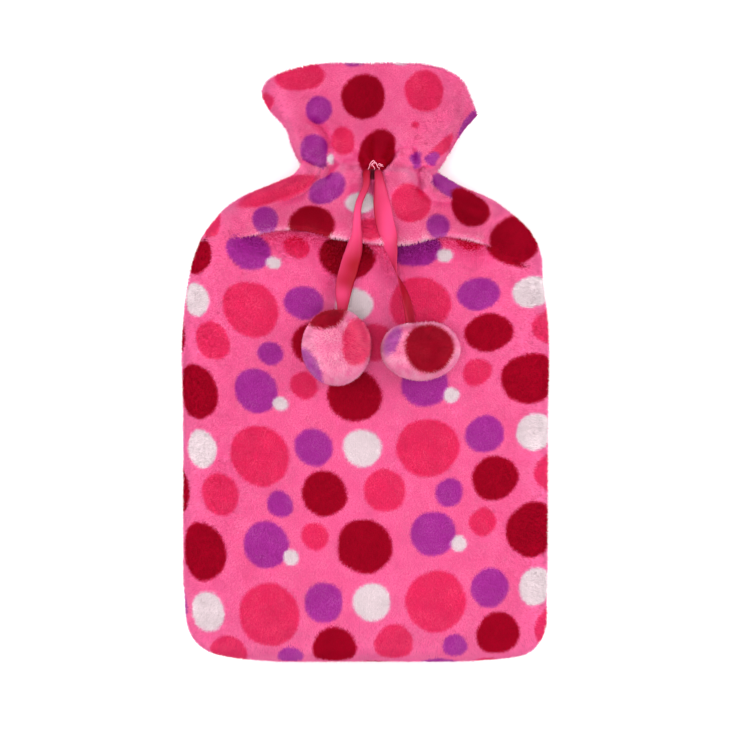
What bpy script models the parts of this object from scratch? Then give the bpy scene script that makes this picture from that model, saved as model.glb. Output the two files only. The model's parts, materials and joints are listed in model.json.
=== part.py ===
"""Plush cover for a hot water bottle, lying on its back with the front facing up.

Three sewn panels make a hollow bag: a back, a lower front, and an upper front whose hemmed
edge laps over the lower front as a flap. The neck is drawn in by a ribbon. Above it both
layers flare into a ruffle that is open at the top. The two tails of the ribbon leave a slit
at the middle of the neck and end in stuffed balls of the same plush.

+X is to the right, +Y towards the ruffle and +Z up from the surface it lies on. The tables
and the shape functions work in millimetres; mesh_object turns them into metres.
"""

import bmesh
import bpy
import numpy as np

MM = 0.001

# Cloth
CLOTH = 2.0  # the backing with the dense foot of the pile
HEM = 3.2  # the turned edge of a panel
GAP = 0.3  # air between neighbouring pieces
LAP_AIR = 0.8  # air between the flap and the panel under it
LAP_DROP = CLOTH + LAP_AIR  # how far the lower front sinks under the flap
COLUMNS = 26  # faces across each panel
END_ROWS = 6  # and along it: where the bottom rounds off, on the straight, at the shoulders
STRAIGHT_ROWS = 4
SHOULDER_PITCH = 6.5

# The bag. Each section runs across at y: where its left and right edges are, how high the
# side seam lies, how far the front and the back bulge from the seam, and how square it is.
SECTION_COLUMNS = ("y", "left", "right", "seam", "front", "back", "square")
SECTIONS = (
    (-178.0, -107.6, 107.4, 21.0, 27.0, 24.5, 3.6),
    (-120.0, -108.0, 107.8, 21.0, 27.0, 24.5, 3.6),
    (-40.0, -108.0, 108.0, 21.0, 27.6, 24.5, 3.6),
    (26.0, -107.9, 107.8, 21.0, 27.2, 24.5, 3.6),
    (50.0, -104.6, 104.8, 21.0, 26.4, 24.0, 3.4),
    (64.0, -101.2, 103.8, 20.8, 25.4, 23.0, 3.3),
    (74.0, -96.8, 99.8, 20.6, 24.4, 22.0, 3.1),
    (83.0, -90.3, 92.4, 20.4, 23.0, 20.6, 3.0),
    (90.0, -84.0, 83.6, 20.3, 21.8, 19.4, 2.8),
    (95.0, -77.5, 76.8, 20.2, 20.8, 18.4, 2.7),
    (99.0, -69.4, 69.4, 20.1, 20.0, 17.6, 2.6),
    (104.0, -54.2, 59.0, 20.0, 18.8, 16.4, 2.5),
    (108.0, -43.2, 52.0, 20.0, 17.6, 15.6, 2.4),
    (112.0, -38.2, 45.6, 20.0, 16.6, 14.8, 2.4),
    (116.0, -36.3, 41.4, 20.0, 15.8, 14.4, 2.4),
)
BOTTOM = -177.6
NECK = 116.0
NECK_SLANT = -2.2  # the drawn-in line is this much lower on the right than at the middle
SLANT_START = 92.0
END_LENGTH = 46.0  # the stretch over which the bag rounds off to its bottom seam
END_SQUARE = 3.0
SHOULDER = 26.0  # where the sides begin to curve in
# How far each bottom corner cuts in, at each height above the bottom seam.
CORNER_COLUMNS = ("rise", "left", "right")
CORNERS = (
    (0.0, 58.0, 52.0),
    (1.8, 34.0, 26.0),
    (3.6, 22.6, 15.0),
    (5.4, 16.2, 10.4),
    (7.2, 12.6, 8.4),
    (9.0, 10.2, 6.8),
    (10.8, 8.4, 5.4),
    (12.6, 6.8, 4.2),
    (18.6, 3.6, 1.8),
    (27.0, 1.9, 0.9),
    (36.0, 0.9, 0.4),
    (46.0, 0.0, 0.0),
)

# Free edges of the ruffle, from the left seam (across -1) to the right seam (across 1).
EDGE_COLUMNS = ("across", "x", "y", "z")
FRONT_EDGE = (
    (-1.00, -62.4, 162.0, 13.0),
    (-0.88, -58.4, 168.4, 20.0),
    (-0.74, -50.0, 172.4, 26.0),
    (-0.54, -37.0, 175.8, 29.5),
    (-0.30, -21.0, 177.4, 33.0),
    (0.00, 0.5, 177.6, 30.0),
    (0.30, 21.0, 177.5, 33.5),
    (0.54, 39.0, 176.4, 30.0),
    (0.72, 51.3, 172.4, 27.0),
    (0.86, 59.8, 165.2, 22.5),
    (0.94, 63.4, 156.6, 17.5),
    (1.00, 67.4, 148.2, 12.4),
)
BACK_EDGE = (
    (-1.00, -62.4, 162.0, 13.0),
    (-0.88, -58.0, 167.0, 7.5),
    (-0.74, -49.6, 170.4, 3.6),
    (-0.54, -37.4, 172.6, 1.0),
    (-0.30, -21.0, 173.4, 0.0),
    (0.00, 0.5, 174.6, 2.6),
    (0.30, 21.6, 174.6, 0.0),
    (0.54, 38.6, 172.6, 0.6),
    (0.72, 50.6, 168.8, 3.0),
    (0.86, 59.2, 161.8, 6.6),
    (0.94, 63.6, 154.6, 9.6),
    (1.00, 67.4, 148.2, 12.4),
)

# The flap's hem, from the left seam to the right seam.
HEM_COLUMNS = ("across", "y")
FLAP_HEM = (
    (-1.00, 74.4),
    (-0.42, 77.0),
    (-0.23, 74.8),
    (-0.13, 72.4),
    (0.00, 70.4),
    (0.15, 69.8),
    (0.25, 73.2),
    (0.32, 74.8),
    (0.41, 72.8),
    (0.52, 68.8),
    (0.60, 63.4),
    (0.70, 57.4),
    (1.00, 49.0),
)
LOWER_HEM = 98.0  # where the lower front ends under the flap

# Folds that start at the drawn-in neck: two ends, half width and height in millimetres.
# A negative height is a crease.
FOLD_COLUMNS = ("x0", "y0", "x1", "y1", "width", "height")
FRONT_FOLDS = (
    (-33.0, 116.5, -76.0, 94.0, 8.0, 4.0),
    (-20.0, 117.0, -38.0, 102.0, 3.8, -2.0),
    (-17.5, 116.5, -46.0, 97.0, 4.8, 2.0),
    (-14.0, 117.0, -60.0, 91.0, 4.8, -3.4),
    (-7.0, 116.0, -28.0, 82.0, 8.0, 2.4),
    (4.2, 114.5, 4.4, 90.0, 4.4, -1.8),
    (15.0, 115.0, 23.0, 86.0, 9.0, 3.4),
    (27.5, 115.0, 41.0, 97.0, 4.0, -3.4),
    (33.0, 114.5, 50.0, 96.0, 5.2, 2.6),
    (38.0, 114.0, 60.0, 98.0, 3.8, -1.8),
    (-33.0, 116.0, -48.0, 160.0, 8.0, 1.8),
    (-24.0, 116.0, -28.0, 142.0, 4.4, -2.6),
    (-13.0, 116.0, -14.0, 152.0, 7.0, 1.8),
    (7.0, 116.0, 5.0, 150.0, 7.0, 1.4),
    (18.5, 116.0, 18.0, 142.0, 4.2, -2.2),
    (25.0, 115.0, 33.0, 152.0, 6.0, 1.6),
    (31.5, 115.0, 33.0, 133.0, 3.6, -2.0),
    (38.0, 114.0, 57.0, 146.0, 7.0, 1.4),
)
BACK_FOLDS = (
    (-28.0, 116.0, -62.0, 88.0, 6.0, -2.6),
    (-12.0, 116.0, -20.0, 84.0, 6.0, -2.4),
    (5.0, 116.0, 6.0, 86.0, 6.0, -2.6),
    (20.0, 116.0, 32.0, 86.0, 6.0, -2.4),
    (33.0, 116.0, 60.0, 90.0, 5.0, -2.4),
    (-20.0, 116.0, -30.0, 150.0, 6.0, -2.2),
    (12.0, 116.0, 12.0, 150.0, 6.0, -2.4),
    (30.0, 116.0, 42.0, 146.0, 5.0, -2.2),
)
# Broad soft swells and hollows of the filled-looking front.
SWELL_COLUMNS = ("x", "y", "reach", "height")
SWELLS = (
    (-58.0, -96.0, 46.0, 0.9),
    (52.0, -60.0, 40.0, -0.8),
    (-46.0, 8.0, 44.0, -0.7),
    (66.0, 22.0, 36.0, 0.8),
    (6.0, -134.0, 40.0, -0.8),
)

# The oval slit in the neck that the ribbon comes out of.
SLIT_CENTRE = (4.2, 112.4, 36.0)
SLIT_SIZE = (15.0, 7.0, 16.0)

# The ribbon's two tails: the middle line of each, from inside the neck to its ball.
TAIL_RADIUS = 2.0
TAIL_PITCH = 4.6
TAIL_ROUTES = {
    "ribbon_left": (
        (0.6, 113.4, 30.6),
        (0.6, 112.9, 35.2),
        (0.4, 111.1, 39.4),
        (0.0, 107.8, 42.0),
        (-0.8, 103.8, 43.2),
        (-2.0, 99.4, 43.6),
        (-3.1, 94.8, 44.9),
        (-4.0, 90.0, 46.1),
        (-4.5, 85.0, 47.3),
        (-4.8, 80.0, 48.6),
        (-5.3, 75.2, 49.6),
        (-6.4, 70.2, 50.0),
        (-8.0, 64.6, 50.0),
        (-9.8, 58.8, 50.3),
        (-11.3, 52.8, 51.0),
        (-12.7, 46.8, 52.2),
        (-13.9, 41.0, 54.0),
        (-14.7, 35.6, 56.4),
        (-15.1, 31.0, 59.0),
        (-15.3, 28.3, 60.7),
    ),
    "ribbon_right": (
        (7.8, 113.4, 30.6),
        (7.8, 112.9, 35.2),
        (8.0, 111.2, 39.8),
        (8.4, 107.9, 42.6),
        (9.1, 103.8, 43.6),
        (9.9, 99.4, 43.9),
        (10.8, 94.8, 45.2),
        (11.7, 90.0, 46.3),
        (12.5, 85.0, 47.4),
        (13.2, 80.0, 48.7),
        (14.1, 75.0, 49.8),
        (15.2, 69.6, 50.4),
        (16.6, 63.8, 51.0),
        (18.1, 57.8, 51.8),
        (19.8, 51.8, 52.7),
        (21.8, 46.0, 53.6),
        (23.6, 40.4, 54.7),
        (25.0, 34.8, 56.2),
        (25.9, 29.6, 57.8),
        (26.3, 25.2, 59.4),
        (26.6, 21.8, 60.7),
    ),
}

# The stuffed balls: how much each narrows towards its left end, and how deep its top puckers
# where the ribbon is sewn in. Each sits on the front, a little flattened there.
BALL_COLUMNS = ("name", "centre", "radii", "narrowing")
BALLS = (
    ("pompom_left", (-17.2, 8.6, 66.0), (19.0, 21.2, 17.4), 0.0),
    ("pompom_right", (32.6, 7.0, 65.2), (22.8, 16.6, 16.4), 0.1),
)
BALL_REST = 49.8
BALL_PUCKER = 0.1
BALL_AROUND = 18
BALL_ALONG = 11

COLOURS = {
    "front": "#F2568C",
    "back": "#EE5088",
    "flap": "#F35C91",
    "ribbon": "#F7427A",
    "ball": "#F078A8",
}


def table_curve(at, table, columns, name):
    """Cubic curve through one column of a table, read at `at` against its first column."""
    rows = np.array(table)
    knots, values = rows[:, 0], rows[:, columns.index(name)]
    slopes = np.gradient(values, knots)
    i = np.clip(np.searchsorted(knots, at) - 1, 0, len(knots) - 2)
    span = knots[i + 1] - knots[i]
    s = np.clip((at - knots[i]) / span, 0.0, 1.0)
    start = (1 + 2 * s) * (1 - s) ** 2 * values[i] + s * (1 - s) ** 2 * span * slopes[i]
    end = s * s * (3 - 2 * s) * values[i + 1] + s * s * (s - 1) * span * slopes[i + 1]
    return start + end


def step(low, high, x):
    """0 below low, 1 above high, and a smooth rise between."""
    s = np.clip((x - low) / (high - low), 0.0, 1.0)
    return s * s * (3 - 2 * s)


def seam_height(y):
    return table_curve(y, SECTIONS, SECTION_COLUMNS, "seam")


def bag_surface(across, y, front):
    """Points of the bag below its neck, for across in -1..1 and y up to NECK."""
    column = {name: table_curve(y, SECTIONS, SECTION_COLUMNS, name) for name in SECTION_COLUMNS[1:]}
    side = np.sin(across * np.pi / 2)
    into_end = np.clip((BOTTOM + END_LENGTH - y) / END_LENGTH, 0.0, 1.0)
    left_cut, right_cut = (table_curve(y - BOTTOM, CORNERS, CORNER_COLUMNS, c) for c in ("left", "right"))
    reach = np.where(side < 0, -column["left"] - left_cut, column["right"] - right_cut)
    rounding = np.sqrt(1 - into_end**END_SQUARE)
    bulge = rounding * np.sqrt(np.clip(1 - np.abs(side) ** column["square"], 0.0, 1.0))
    slant = NECK_SLANT * step(SLANT_START, NECK, y) * side
    depth = column["front"] if front else -column["back"]
    return np.stack([reach * side, y + slant, column["seam"] + depth * bulge], axis=-1)


def ruffle_surface(across, up, front):
    """Points of the ruffle, for up in 0..1 from the drawn-in neck to the free edge."""
    edge_table = FRONT_EDGE if front else BACK_EDGE
    neck = bag_surface(across, np.full_like(across, NECK), front)
    edge = np.stack([table_curve(across, edge_table, EDGE_COLUMNS, c) for c in "xyz"], axis=-1)
    return neck + (edge - neck) * up[..., None]


def vertex_normals(grid):
    """Unit normals of a grid of points, each the mean of its faces' normals."""
    across = grid[1:, 1:] - grid[:-1, :-1]
    back = grid[1:, :-1] - grid[:-1, 1:]
    faces = np.cross(across, back)
    total = np.zeros_like(grid)
    for rows in (slice(0, -1), slice(1, None)):
        for cols in (slice(0, -1), slice(1, None)):
            total[rows, cols] += faces
    return total / np.linalg.norm(total, axis=-1, keepdims=True)


def fold_height(x, y, folds):
    """Height of the folds at x, y: soft ridges and creases that widen and fade as they run."""
    height = np.zeros_like(x)
    for x0, y0, x1, y1, width, rise in folds:
        run = np.array([x1 - x0, y1 - y0])
        length = np.linalg.norm(run)
        along = ((x - x0) * run[0] + (y - y0) * run[1]) / length**2
        aside = ((x - x0) * run[1] - (y - y0) * run[0]) / length
        spread = width * (1 + 0.7 * np.clip(along, 0, 1))
        fade = step(-0.1, 0.12, along) * (1 - step(0.35, 1.0, along))
        height += rise * fade * np.exp(-((aside / spread) ** 2))
    return height


def swell_height(x, y):
    """Height of the broad swells of the front at x, y."""
    height = np.zeros_like(x)
    for x0, y0, reach, rise in SWELLS:
        height += rise * np.exp(-((x - x0) ** 2 + (y - y0) ** 2) / reach**2)
    return height


def folded(grid, across, folds, swelling):
    """The grid with its folds and swells, which vanish at the side seams."""
    x, y = grid[..., 0], grid[..., 1]
    height = fold_height(x, y, folds) + swelling * swell_height(x, y)
    height *= 1 - np.abs(np.sin(across * np.pi / 2)) ** 8
    return grid + vertex_normals(grid) * height[..., None]


def bag_rows(last):
    """Heights y of a panel's rows from the bottom seam to the line `last`, close together
    where the bottom and the shoulders round off."""
    turn = BOTTOM + END_LENGTH
    end = turn - END_LENGTH * np.cos(np.linspace(0, np.pi / 2, END_ROWS + 1))
    straight = np.linspace(turn, SHOULDER, STRAIGHT_ROWS + 1)
    shoulder = np.arange(SHOULDER, last - SHOULDER_PITCH / 2, SHOULDER_PITCH)
    return np.concatenate([end[:-1], straight[:-1], shoulder, [last]])


def shell(outer, thickness, seam, facing):
    """Outer and inner grids of a panel, which both stop GAP / 2 short of the seam level."""
    inner = outer - vertex_normals(outer) * facing * np.broadcast_to(thickness, outer.shape[:2])[..., None]
    for grid in (outer, inner):
        limit = seam + facing * GAP / 2
        grid[..., 2] = np.maximum(grid[..., 2], limit) if facing > 0 else np.minimum(grid[..., 2], limit)
    return outer, inner


def shell_faces(rows, cols, facing):
    """Faces that close a panel: its outer grid, its inner grid and the strip round the edge."""
    index = np.arange(rows * cols).reshape(rows, cols)
    inner = index + rows * cols
    corners = index[:-1, :-1], index[:-1, 1:], index[1:, 1:], index[1:, :-1]
    quads = np.stack(corners, axis=-1).reshape(-1, 4)
    faces = np.concatenate([quads, quads[:, ::-1] + rows * cols])
    ring = np.concatenate([index[0, :-1], index[:-1, -1], index[-1, :0:-1], index[:0:-1, 0]])
    under = ring + (inner[0, 0] - index[0, 0])
    strip = np.stack([ring, under, np.roll(under, -1), np.roll(ring, -1)], axis=-1)
    faces = np.concatenate([faces, strip])
    return faces if facing > 0 else faces[:, ::-1]


def plain_material(name, colour, roughness):
    """A Principled material of one colour, given as hex sRGB."""
    srgb = np.array([int(colour[i : i + 2], 16) / 255 for i in (1, 3, 5)])
    linear = np.where(srgb <= 0.04045, srgb / 12.92, ((srgb + 0.055) / 1.055) ** 2.4)
    material = bpy.data.materials.new(name)
    material.use_nodes = True
    shader = material.node_tree.nodes["Principled BSDF"]
    shader.inputs["Base Color"].default_value = (*linear.tolist(), 1.0)
    shader.inputs["Roughness"].default_value = roughness
    shader.inputs["Metallic"].default_value = 0.0
    return material


def mesh_object(name, points, faces, material):
    """A smooth-shaded mesh object in metres, from points in millimetres."""
    mesh = bpy.data.meshes.new(name)
    mesh.from_pydata((points * MM).tolist(), [], faces if isinstance(faces, list) else faces.tolist())
    mesh.materials.append(material)
    mesh.shade_smooth()
    mesh.update()
    obj = bpy.data.objects.new(name, mesh)
    bpy.context.scene.collection.objects.link(obj)
    return obj


def panel_object(name, outer, thickness, seam, front, material):
    """A panel of cloth from its outer grid, as one closed solid."""
    facing = 1 if front else -1
    outer, inner = shell(outer, thickness, seam, facing)
    points = np.concatenate([outer.reshape(-1, 3), inner.reshape(-1, 3)])
    return mesh_object(name, points, shell_faces(*outer.shape[:2], facing), material)


def flap_hem(across):
    return table_curve(across, FLAP_HEM, HEM_COLUMNS, "y")


def across_grid(rows):
    return np.broadcast_to(np.linspace(-1, 1, COLUMNS + 1), (rows, COLUMNS + 1))


def lower_front():
    """The lower front: it sinks under the flap by the flap's thickness and a little air."""
    rows = bag_rows(LOWER_HEM)
    across = across_grid(len(rows))
    y = np.broadcast_to(rows[:, None], across.shape)
    grid = folded(bag_surface(across, y, True), across, FRONT_FOLDS, 1.0)
    under = step(flap_hem(across) - 24, flap_hem(across) - 5, y)
    outer = grid - vertex_normals(grid) * (LAP_DROP * under)[..., None]
    thickness = CLOTH + (HEM - CLOTH) * step(LOWER_HEM - 16, LOWER_HEM - 10, y)
    material = plain_material("plush_front", COLOURS["front"], 0.95)
    return panel_object("front_lower_panel", outer, thickness, seam_height(y), True, material)


def upper_front():
    """Shoulders, neck and front ruffle. Its hem stands proud of the bag's surface."""
    bag_steps, ruffle_steps = 12, 8
    across = across_grid(bag_steps + ruffle_steps + 1)
    share = np.linspace(0, 1, bag_steps + 1)[:-1, None]
    hem = flap_hem(across[:bag_steps])
    y = hem + (NECK - hem) * share
    bag = bag_surface(across[:bag_steps], y, True)
    up = np.linspace(0, 1, ruffle_steps + 1)[:, None] * np.ones(COLUMNS + 1)
    ruffle = ruffle_surface(across[bag_steps:], up, True)
    grid = folded(np.concatenate([bag, ruffle]), across, FRONT_FOLDS, 1.0)
    from_hem = np.concatenate([y - hem, np.full_like(up, NECK)])
    proud = (HEM - CLOTH) * (1 - step(6, 14, from_hem))
    outer = grid + vertex_normals(grid) * proud[..., None]
    seam = np.concatenate([seam_height(y), ruffle_seam(up)])
    material = plain_material("plush_flap", COLOURS["flap"], 0.95)
    panel = panel_object("front_upper_panel", outer, CLOTH + proud, seam, True, material)
    cut_slit(panel)
    return panel


def ruffle_seam(up):
    """Height of the ruffle's side seams, from the neck to its two tips."""
    tip = FRONT_EDGE[0][EDGE_COLUMNS.index("z")]
    return seam_height(NECK) + (tip - seam_height(NECK)) * up


def back():
    """The back: flat where the cover rests, one piece from the bottom seam to the ruffle."""
    ruffle_steps = 8
    rows = bag_rows(NECK)[:-1]
    across = across_grid(len(rows) + ruffle_steps + 1)
    y = np.broadcast_to(rows[:, None], (len(rows), COLUMNS + 1))
    bag = bag_surface(across[: len(rows)], y, False)
    up = np.linspace(0, 1, ruffle_steps + 1)[:, None] * np.ones(COLUMNS + 1)
    ruffle = ruffle_surface(across[len(rows) :], up, False)
    outer = folded(np.concatenate([bag, ruffle]), across, BACK_FOLDS, 0.0)
    outer[..., 2] = np.maximum(outer[..., 2], 0.0)
    seam = np.concatenate([seam_height(y), ruffle_seam(up)])
    material = plain_material("plush_back", COLOURS["back"], 0.95)
    return panel_object("back_panel", outer, CLOTH, seam, False, material)


def cut_slit(panel):
    """Cuts the oval slit for the ribbon through the neck of the flap panel."""
    mesh = bpy.data.meshes.new("slit_cutter")
    bm = bmesh.new()
    bmesh.ops.create_cone(bm, cap_ends=True, segments=16, radius1=0.5, radius2=0.5, depth=1.0)
    bmesh.ops.scale(bm, vec=[size * MM for size in SLIT_SIZE], verts=bm.verts)
    bm.to_mesh(mesh)
    bm.free()
    cutter = bpy.data.objects.new("slit_cutter", mesh)
    bpy.context.scene.collection.objects.link(cutter)
    cutter.location = [place * MM for place in SLIT_CENTRE]
    cutter.hide_render = True
    cutter.display_type = "WIRE"
    cut = panel.modifiers.new("slit", "BOOLEAN")
    cut.operation = "DIFFERENCE"
    cut.solver = "EXACT"
    cut.object = cutter


def smooth_route(route):
    """Points at an even pitch along a smooth curve through the route's own points."""
    knots = np.array(route)
    run = np.concatenate([[0.0], np.cumsum(np.linalg.norm(np.diff(knots, axis=0), axis=1))])
    at = np.linspace(0.0, run[-1], round(run[-1] / TAIL_PITCH) + 1)
    rows = np.column_stack([run, knots])
    return np.column_stack([table_curve(at, rows, ("run", "x", "y", "z"), axis) for axis in "xyz"])


def ribbon_tail(name, route, material):
    """The plain round solid of one ribbon tail."""
    points = smooth_route(route) * MM
    curve = bpy.data.curves.new(name, "CURVE")
    curve.dimensions = "3D"
    curve.bevel_depth = TAIL_RADIUS * MM
    curve.bevel_resolution = 2
    curve.use_fill_caps = True
    spline = curve.splines.new("POLY")
    spline.points.add(len(points) - 1)
    spline.points.foreach_set("co", np.column_stack([points, np.ones(len(points))]).ravel())
    curve.materials.append(material)
    obj = bpy.data.objects.new(name, curve)
    bpy.context.scene.collection.objects.link(obj)
    return obj


def ball(name, centre, radii, narrowing, material):
    """A stuffed ball whose poles lie along Y, puckered at the one that the ribbon enters."""
    polar = np.linspace(0, np.pi, BALL_ALONG + 1)[1:-1, None]
    around = np.linspace(0, 2 * np.pi, BALL_AROUND, endpoint=False)
    pucker = 1 - BALL_PUCKER * np.exp(-((polar / 0.5) ** 2))
    x = radii[0] * np.sin(polar) * np.cos(around)
    girth = 1 + narrowing * x / radii[0]
    y = radii[1] * np.cos(polar) * pucker * girth
    z = radii[2] * np.sin(polar) * np.sin(around) * girth
    rings = np.stack([x, y, z], axis=-1).reshape(-1, 3)
    poles = np.array([[0, radii[1] * (1 - BALL_PUCKER), 0], [0, -radii[1], 0]])
    points = np.concatenate([rings, poles]) + centre
    points[:, 2] = np.maximum(points[:, 2], BALL_REST)
    index = np.arange(len(rings)).reshape(-1, BALL_AROUND)
    turned = np.roll(index, -1, axis=1)
    quads = np.stack([index[:-1], turned[:-1], turned[1:], index[1:]], axis=-1).reshape(-1, 4)
    top = [(len(rings), int(b), int(a)) for a, b in zip(index[0], turned[0], strict=True)]
    bottom = [(len(rings) + 1, int(a), int(b)) for a, b in zip(index[-1], turned[-1], strict=True)]
    return mesh_object(name, points, [*quads.tolist(), *top, *bottom], material)


def clear_scene():
    for obj in list(bpy.data.objects):
        bpy.data.objects.remove(obj, do_unlink=True)


clear_scene()
back()
lower_front()
upper_front()
satin = plain_material("satin_ribbon", COLOURS["ribbon"], 0.35)
plush_ball = plain_material("plush_ball", COLOURS["ball"], 0.95)
for tail, route in TAIL_ROUTES.items():
    ribbon_tail(tail, route, satin)
for row in BALLS:
    ball(*row, plush_ball)
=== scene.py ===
# %% [markdown]
# # A plush cover for a hot water bottle
#
# The cover is a flat bag of printed coral fleece that lies on its back. Its front is cut in two:
# the upper panel laps over the lower one as a hemmed flap, and the bottle goes in under it. A
# satin ribbon runs in a casing round the neck, draws it in and leaves by a slit at the middle of
# the front. Each of its two tails ends in a stuffed ball of the same fleece.
#
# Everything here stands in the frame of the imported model: metres, +X to the right, +Y towards
# the ruffle, +Z up from the table. The tables and the shape functions work in millimetres.

import json

import bpy
import numpy as np
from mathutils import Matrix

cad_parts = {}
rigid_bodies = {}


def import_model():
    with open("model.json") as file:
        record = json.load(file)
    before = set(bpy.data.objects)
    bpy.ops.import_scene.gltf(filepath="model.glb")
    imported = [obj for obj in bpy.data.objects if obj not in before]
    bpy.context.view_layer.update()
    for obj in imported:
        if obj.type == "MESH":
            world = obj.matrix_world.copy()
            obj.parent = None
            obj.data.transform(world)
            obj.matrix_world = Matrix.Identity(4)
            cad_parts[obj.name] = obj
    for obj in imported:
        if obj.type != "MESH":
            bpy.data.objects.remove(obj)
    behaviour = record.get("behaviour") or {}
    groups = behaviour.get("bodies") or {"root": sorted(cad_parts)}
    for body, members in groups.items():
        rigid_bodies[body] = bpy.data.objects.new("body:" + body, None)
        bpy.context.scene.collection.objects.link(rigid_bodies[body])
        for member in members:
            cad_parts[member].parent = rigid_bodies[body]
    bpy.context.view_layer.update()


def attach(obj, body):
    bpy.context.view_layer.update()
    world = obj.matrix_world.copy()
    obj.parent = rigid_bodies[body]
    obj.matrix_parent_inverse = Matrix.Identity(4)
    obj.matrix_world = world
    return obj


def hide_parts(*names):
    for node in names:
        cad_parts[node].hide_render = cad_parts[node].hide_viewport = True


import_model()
MM = 0.001

# %% [markdown]
# ## Reading places off the photograph
#
# The photograph is 730 pixels square and looks straight down on the cover. At the height of the
# side seam one pixel is 0.6 mm, so a spot that was measured in pixels turns into a place on the
# cover by one shift and one scale.

# %% Pixels to millimetres
PHOTO_SIDE = 730
PIXEL = 0.6
PHOTO_ORIGIN = np.array([365.5, 361.5])
SEAM_LEVEL = 21.0


def from_photo(pixels):
    """Places x, y in mm of pixels (px, py): (px - 365.5) * 0.6 and (361.5 - py) * 0.6."""
    pixels = np.asarray(pixels, dtype=float)
    return (pixels - PHOTO_ORIGIN) * [PIXEL, -PIXEL]


photo_centre = from_photo([PHOTO_SIDE / 2, PHOTO_SIDE / 2])
print("the picture's centre lies at", photo_centre.round(2), "mm")

# %% [markdown]
# ## Camera, light and table
#
# A catalogue picture of a soft thing is taken inside a white tent with soft boxes outside it, so
# the light is even from all sides and no shadow has an edge. The even part is the sky here.
# One box hangs overhead and one looks in from the foot, because the photograph shows the cover
# bright down to its bottom edge. One at each side puts the soft shadows beside the ribbons and
# the balls. The table is plain and nearly white.

# %% Camera
CAMERA_HEIGHT = 2000.0
SENSOR = 36.0


def linear(colour):
    """Linear light from a hex sRGB colour, by the sRGB curve."""
    srgb = np.array([int(colour[i : i + 2], 16) / 255 for i in (1, 3, 5)])
    return np.where(srgb <= 0.04045, srgb / 12.92, ((srgb + 0.055) / 1.055) ** 2.4)


def put_in_scene(name, data):
    obj = bpy.data.objects.new(name, data)
    bpy.context.scene.collection.objects.link(obj)
    return obj


eye = bpy.data.cameras.new("camera")
eye.sensor_width = SENSOR
eye.lens = SENSOR * (CAMERA_HEIGHT - SEAM_LEVEL) / (PHOTO_SIDE * PIXEL)
eye.clip_start, eye.clip_end = 0.1, 20.0
camera = put_in_scene("camera", eye)
camera.location = (*(photo_centre * MM), CAMERA_HEIGHT * MM)
bpy.context.scene.camera = camera
bpy.context.scene.view_settings.view_transform = "Standard"
print("lens, mm:", round(eye.lens, 2))

# %% Lamps and sky
SOFT_BOXES = (
    # name, place in m, aim in m, side in m, watts
    ("overhead", (-0.40, -0.20, 3.60), (0.0, 0.0, 0.03), 1.6, 50.0),
    ("left_side", (-2.70, 0.90, 1.80), (0.0, 0.0, 0.03), 1.2, 64.0),
    ("right_side", (2.70, 0.70, 1.80), (0.0, 0.0, 0.03), 1.2, 64.0),
    ("foot_side", (0.10, -2.20, 2.20), (0.0, 0.0, 0.03), 1.2, 20.0),
)
SKY_STRENGTH = 0.92


def soft_box(name, place, aim, side, watts):
    """A square area lamp that looks from its place towards its aim."""
    lamp = bpy.data.lights.new(name, "AREA")
    lamp.shape = "SQUARE"
    lamp.size = side
    lamp.energy = watts
    obj = put_in_scene(name, lamp)
    look = np.array(place) - aim
    obj.location = place
    tilt = np.arctan2(np.hypot(look[0], look[1]), look[2])
    obj.rotation_euler = (tilt, 0.0, np.arctan2(look[1], look[0]) + np.pi / 2)
    return obj


for row in SOFT_BOXES:
    soft_box(*row)
sky = bpy.data.worlds.new("sky")
sky.use_nodes = True
sky.node_tree.nodes["Background"].inputs["Color"].default_value = (1.0, 1.0, 1.0, 1.0)
sky.node_tree.nodes["Background"].inputs["Strength"].default_value = SKY_STRENGTH
bpy.context.scene.world = sky
print("lamps:", [row[0] for row in SOFT_BOXES])

# %% [markdown]
# ## Small helpers
#
# A shape here is a numpy grid of points, worked out as a whole and then handed to Blender. These
# helpers turn a grid into a mesh, read a smooth curve through a table, and make soft noise. The
# noise starts from whole numbers that are scrambled the same way each run, so the cover comes
# out the same every time.


# %% Meshes from arrays
def new_mesh(name, points, faces):
    """A mesh from points in mm and an array of faces that all have as many corners."""
    mesh = bpy.data.meshes.new(name)
    mesh.vertices.add(len(points))
    mesh.vertices.foreach_set("co", (np.asarray(points) * MM).astype(np.float32).ravel())
    mesh.loops.add(faces.size)
    mesh.loops.foreach_set("vertex_index", faces.astype(np.int32).ravel())
    mesh.polygons.add(len(faces))
    starts = np.arange(0, faces.size, faces.shape[1], dtype=np.int32)
    mesh.polygons.foreach_set("loop_start", starts)
    mesh.update(calc_edges=True)
    return mesh


def ring_quads(index):
    """Faces between rings of points: each point is joined to the next one round its ring and to
    those two on the next ring. The last point of a ring is followed by its first."""
    turned = np.roll(index, -1, axis=1)
    return np.stack([index[:-1], turned[:-1], turned[1:], index[1:]], axis=-1).reshape(-1, 4)


def give_map(mesh, name, places):
    """A UV map from one place (u, v) for each point of the mesh."""
    corners = np.empty(len(mesh.loops), dtype=np.int32)
    mesh.loops.foreach_get("vertex_index", corners)
    layer = mesh.uv_layers.new(name=name)
    layer.uv.foreach_set("vector", places[corners].astype(np.float32).ravel())


def give_colours(mesh, name, colours):
    """A colour attribute from one linear colour for each point of the mesh."""
    rgba = np.column_stack([colours, np.ones(len(colours))])
    layer = mesh.color_attributes.new(name=name, type="FLOAT_COLOR", domain="POINT")
    layer.data.foreach_set("color", rgba.astype(np.float32).ravel())


def give_vectors(mesh, name, vectors):
    """A vector attribute from one vector for each point of the mesh."""
    layer = mesh.attributes.new(name=name, type="FLOAT_VECTOR", domain="POINT")
    layer.data.foreach_set("vector", vectors.astype(np.float32).ravel())


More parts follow.
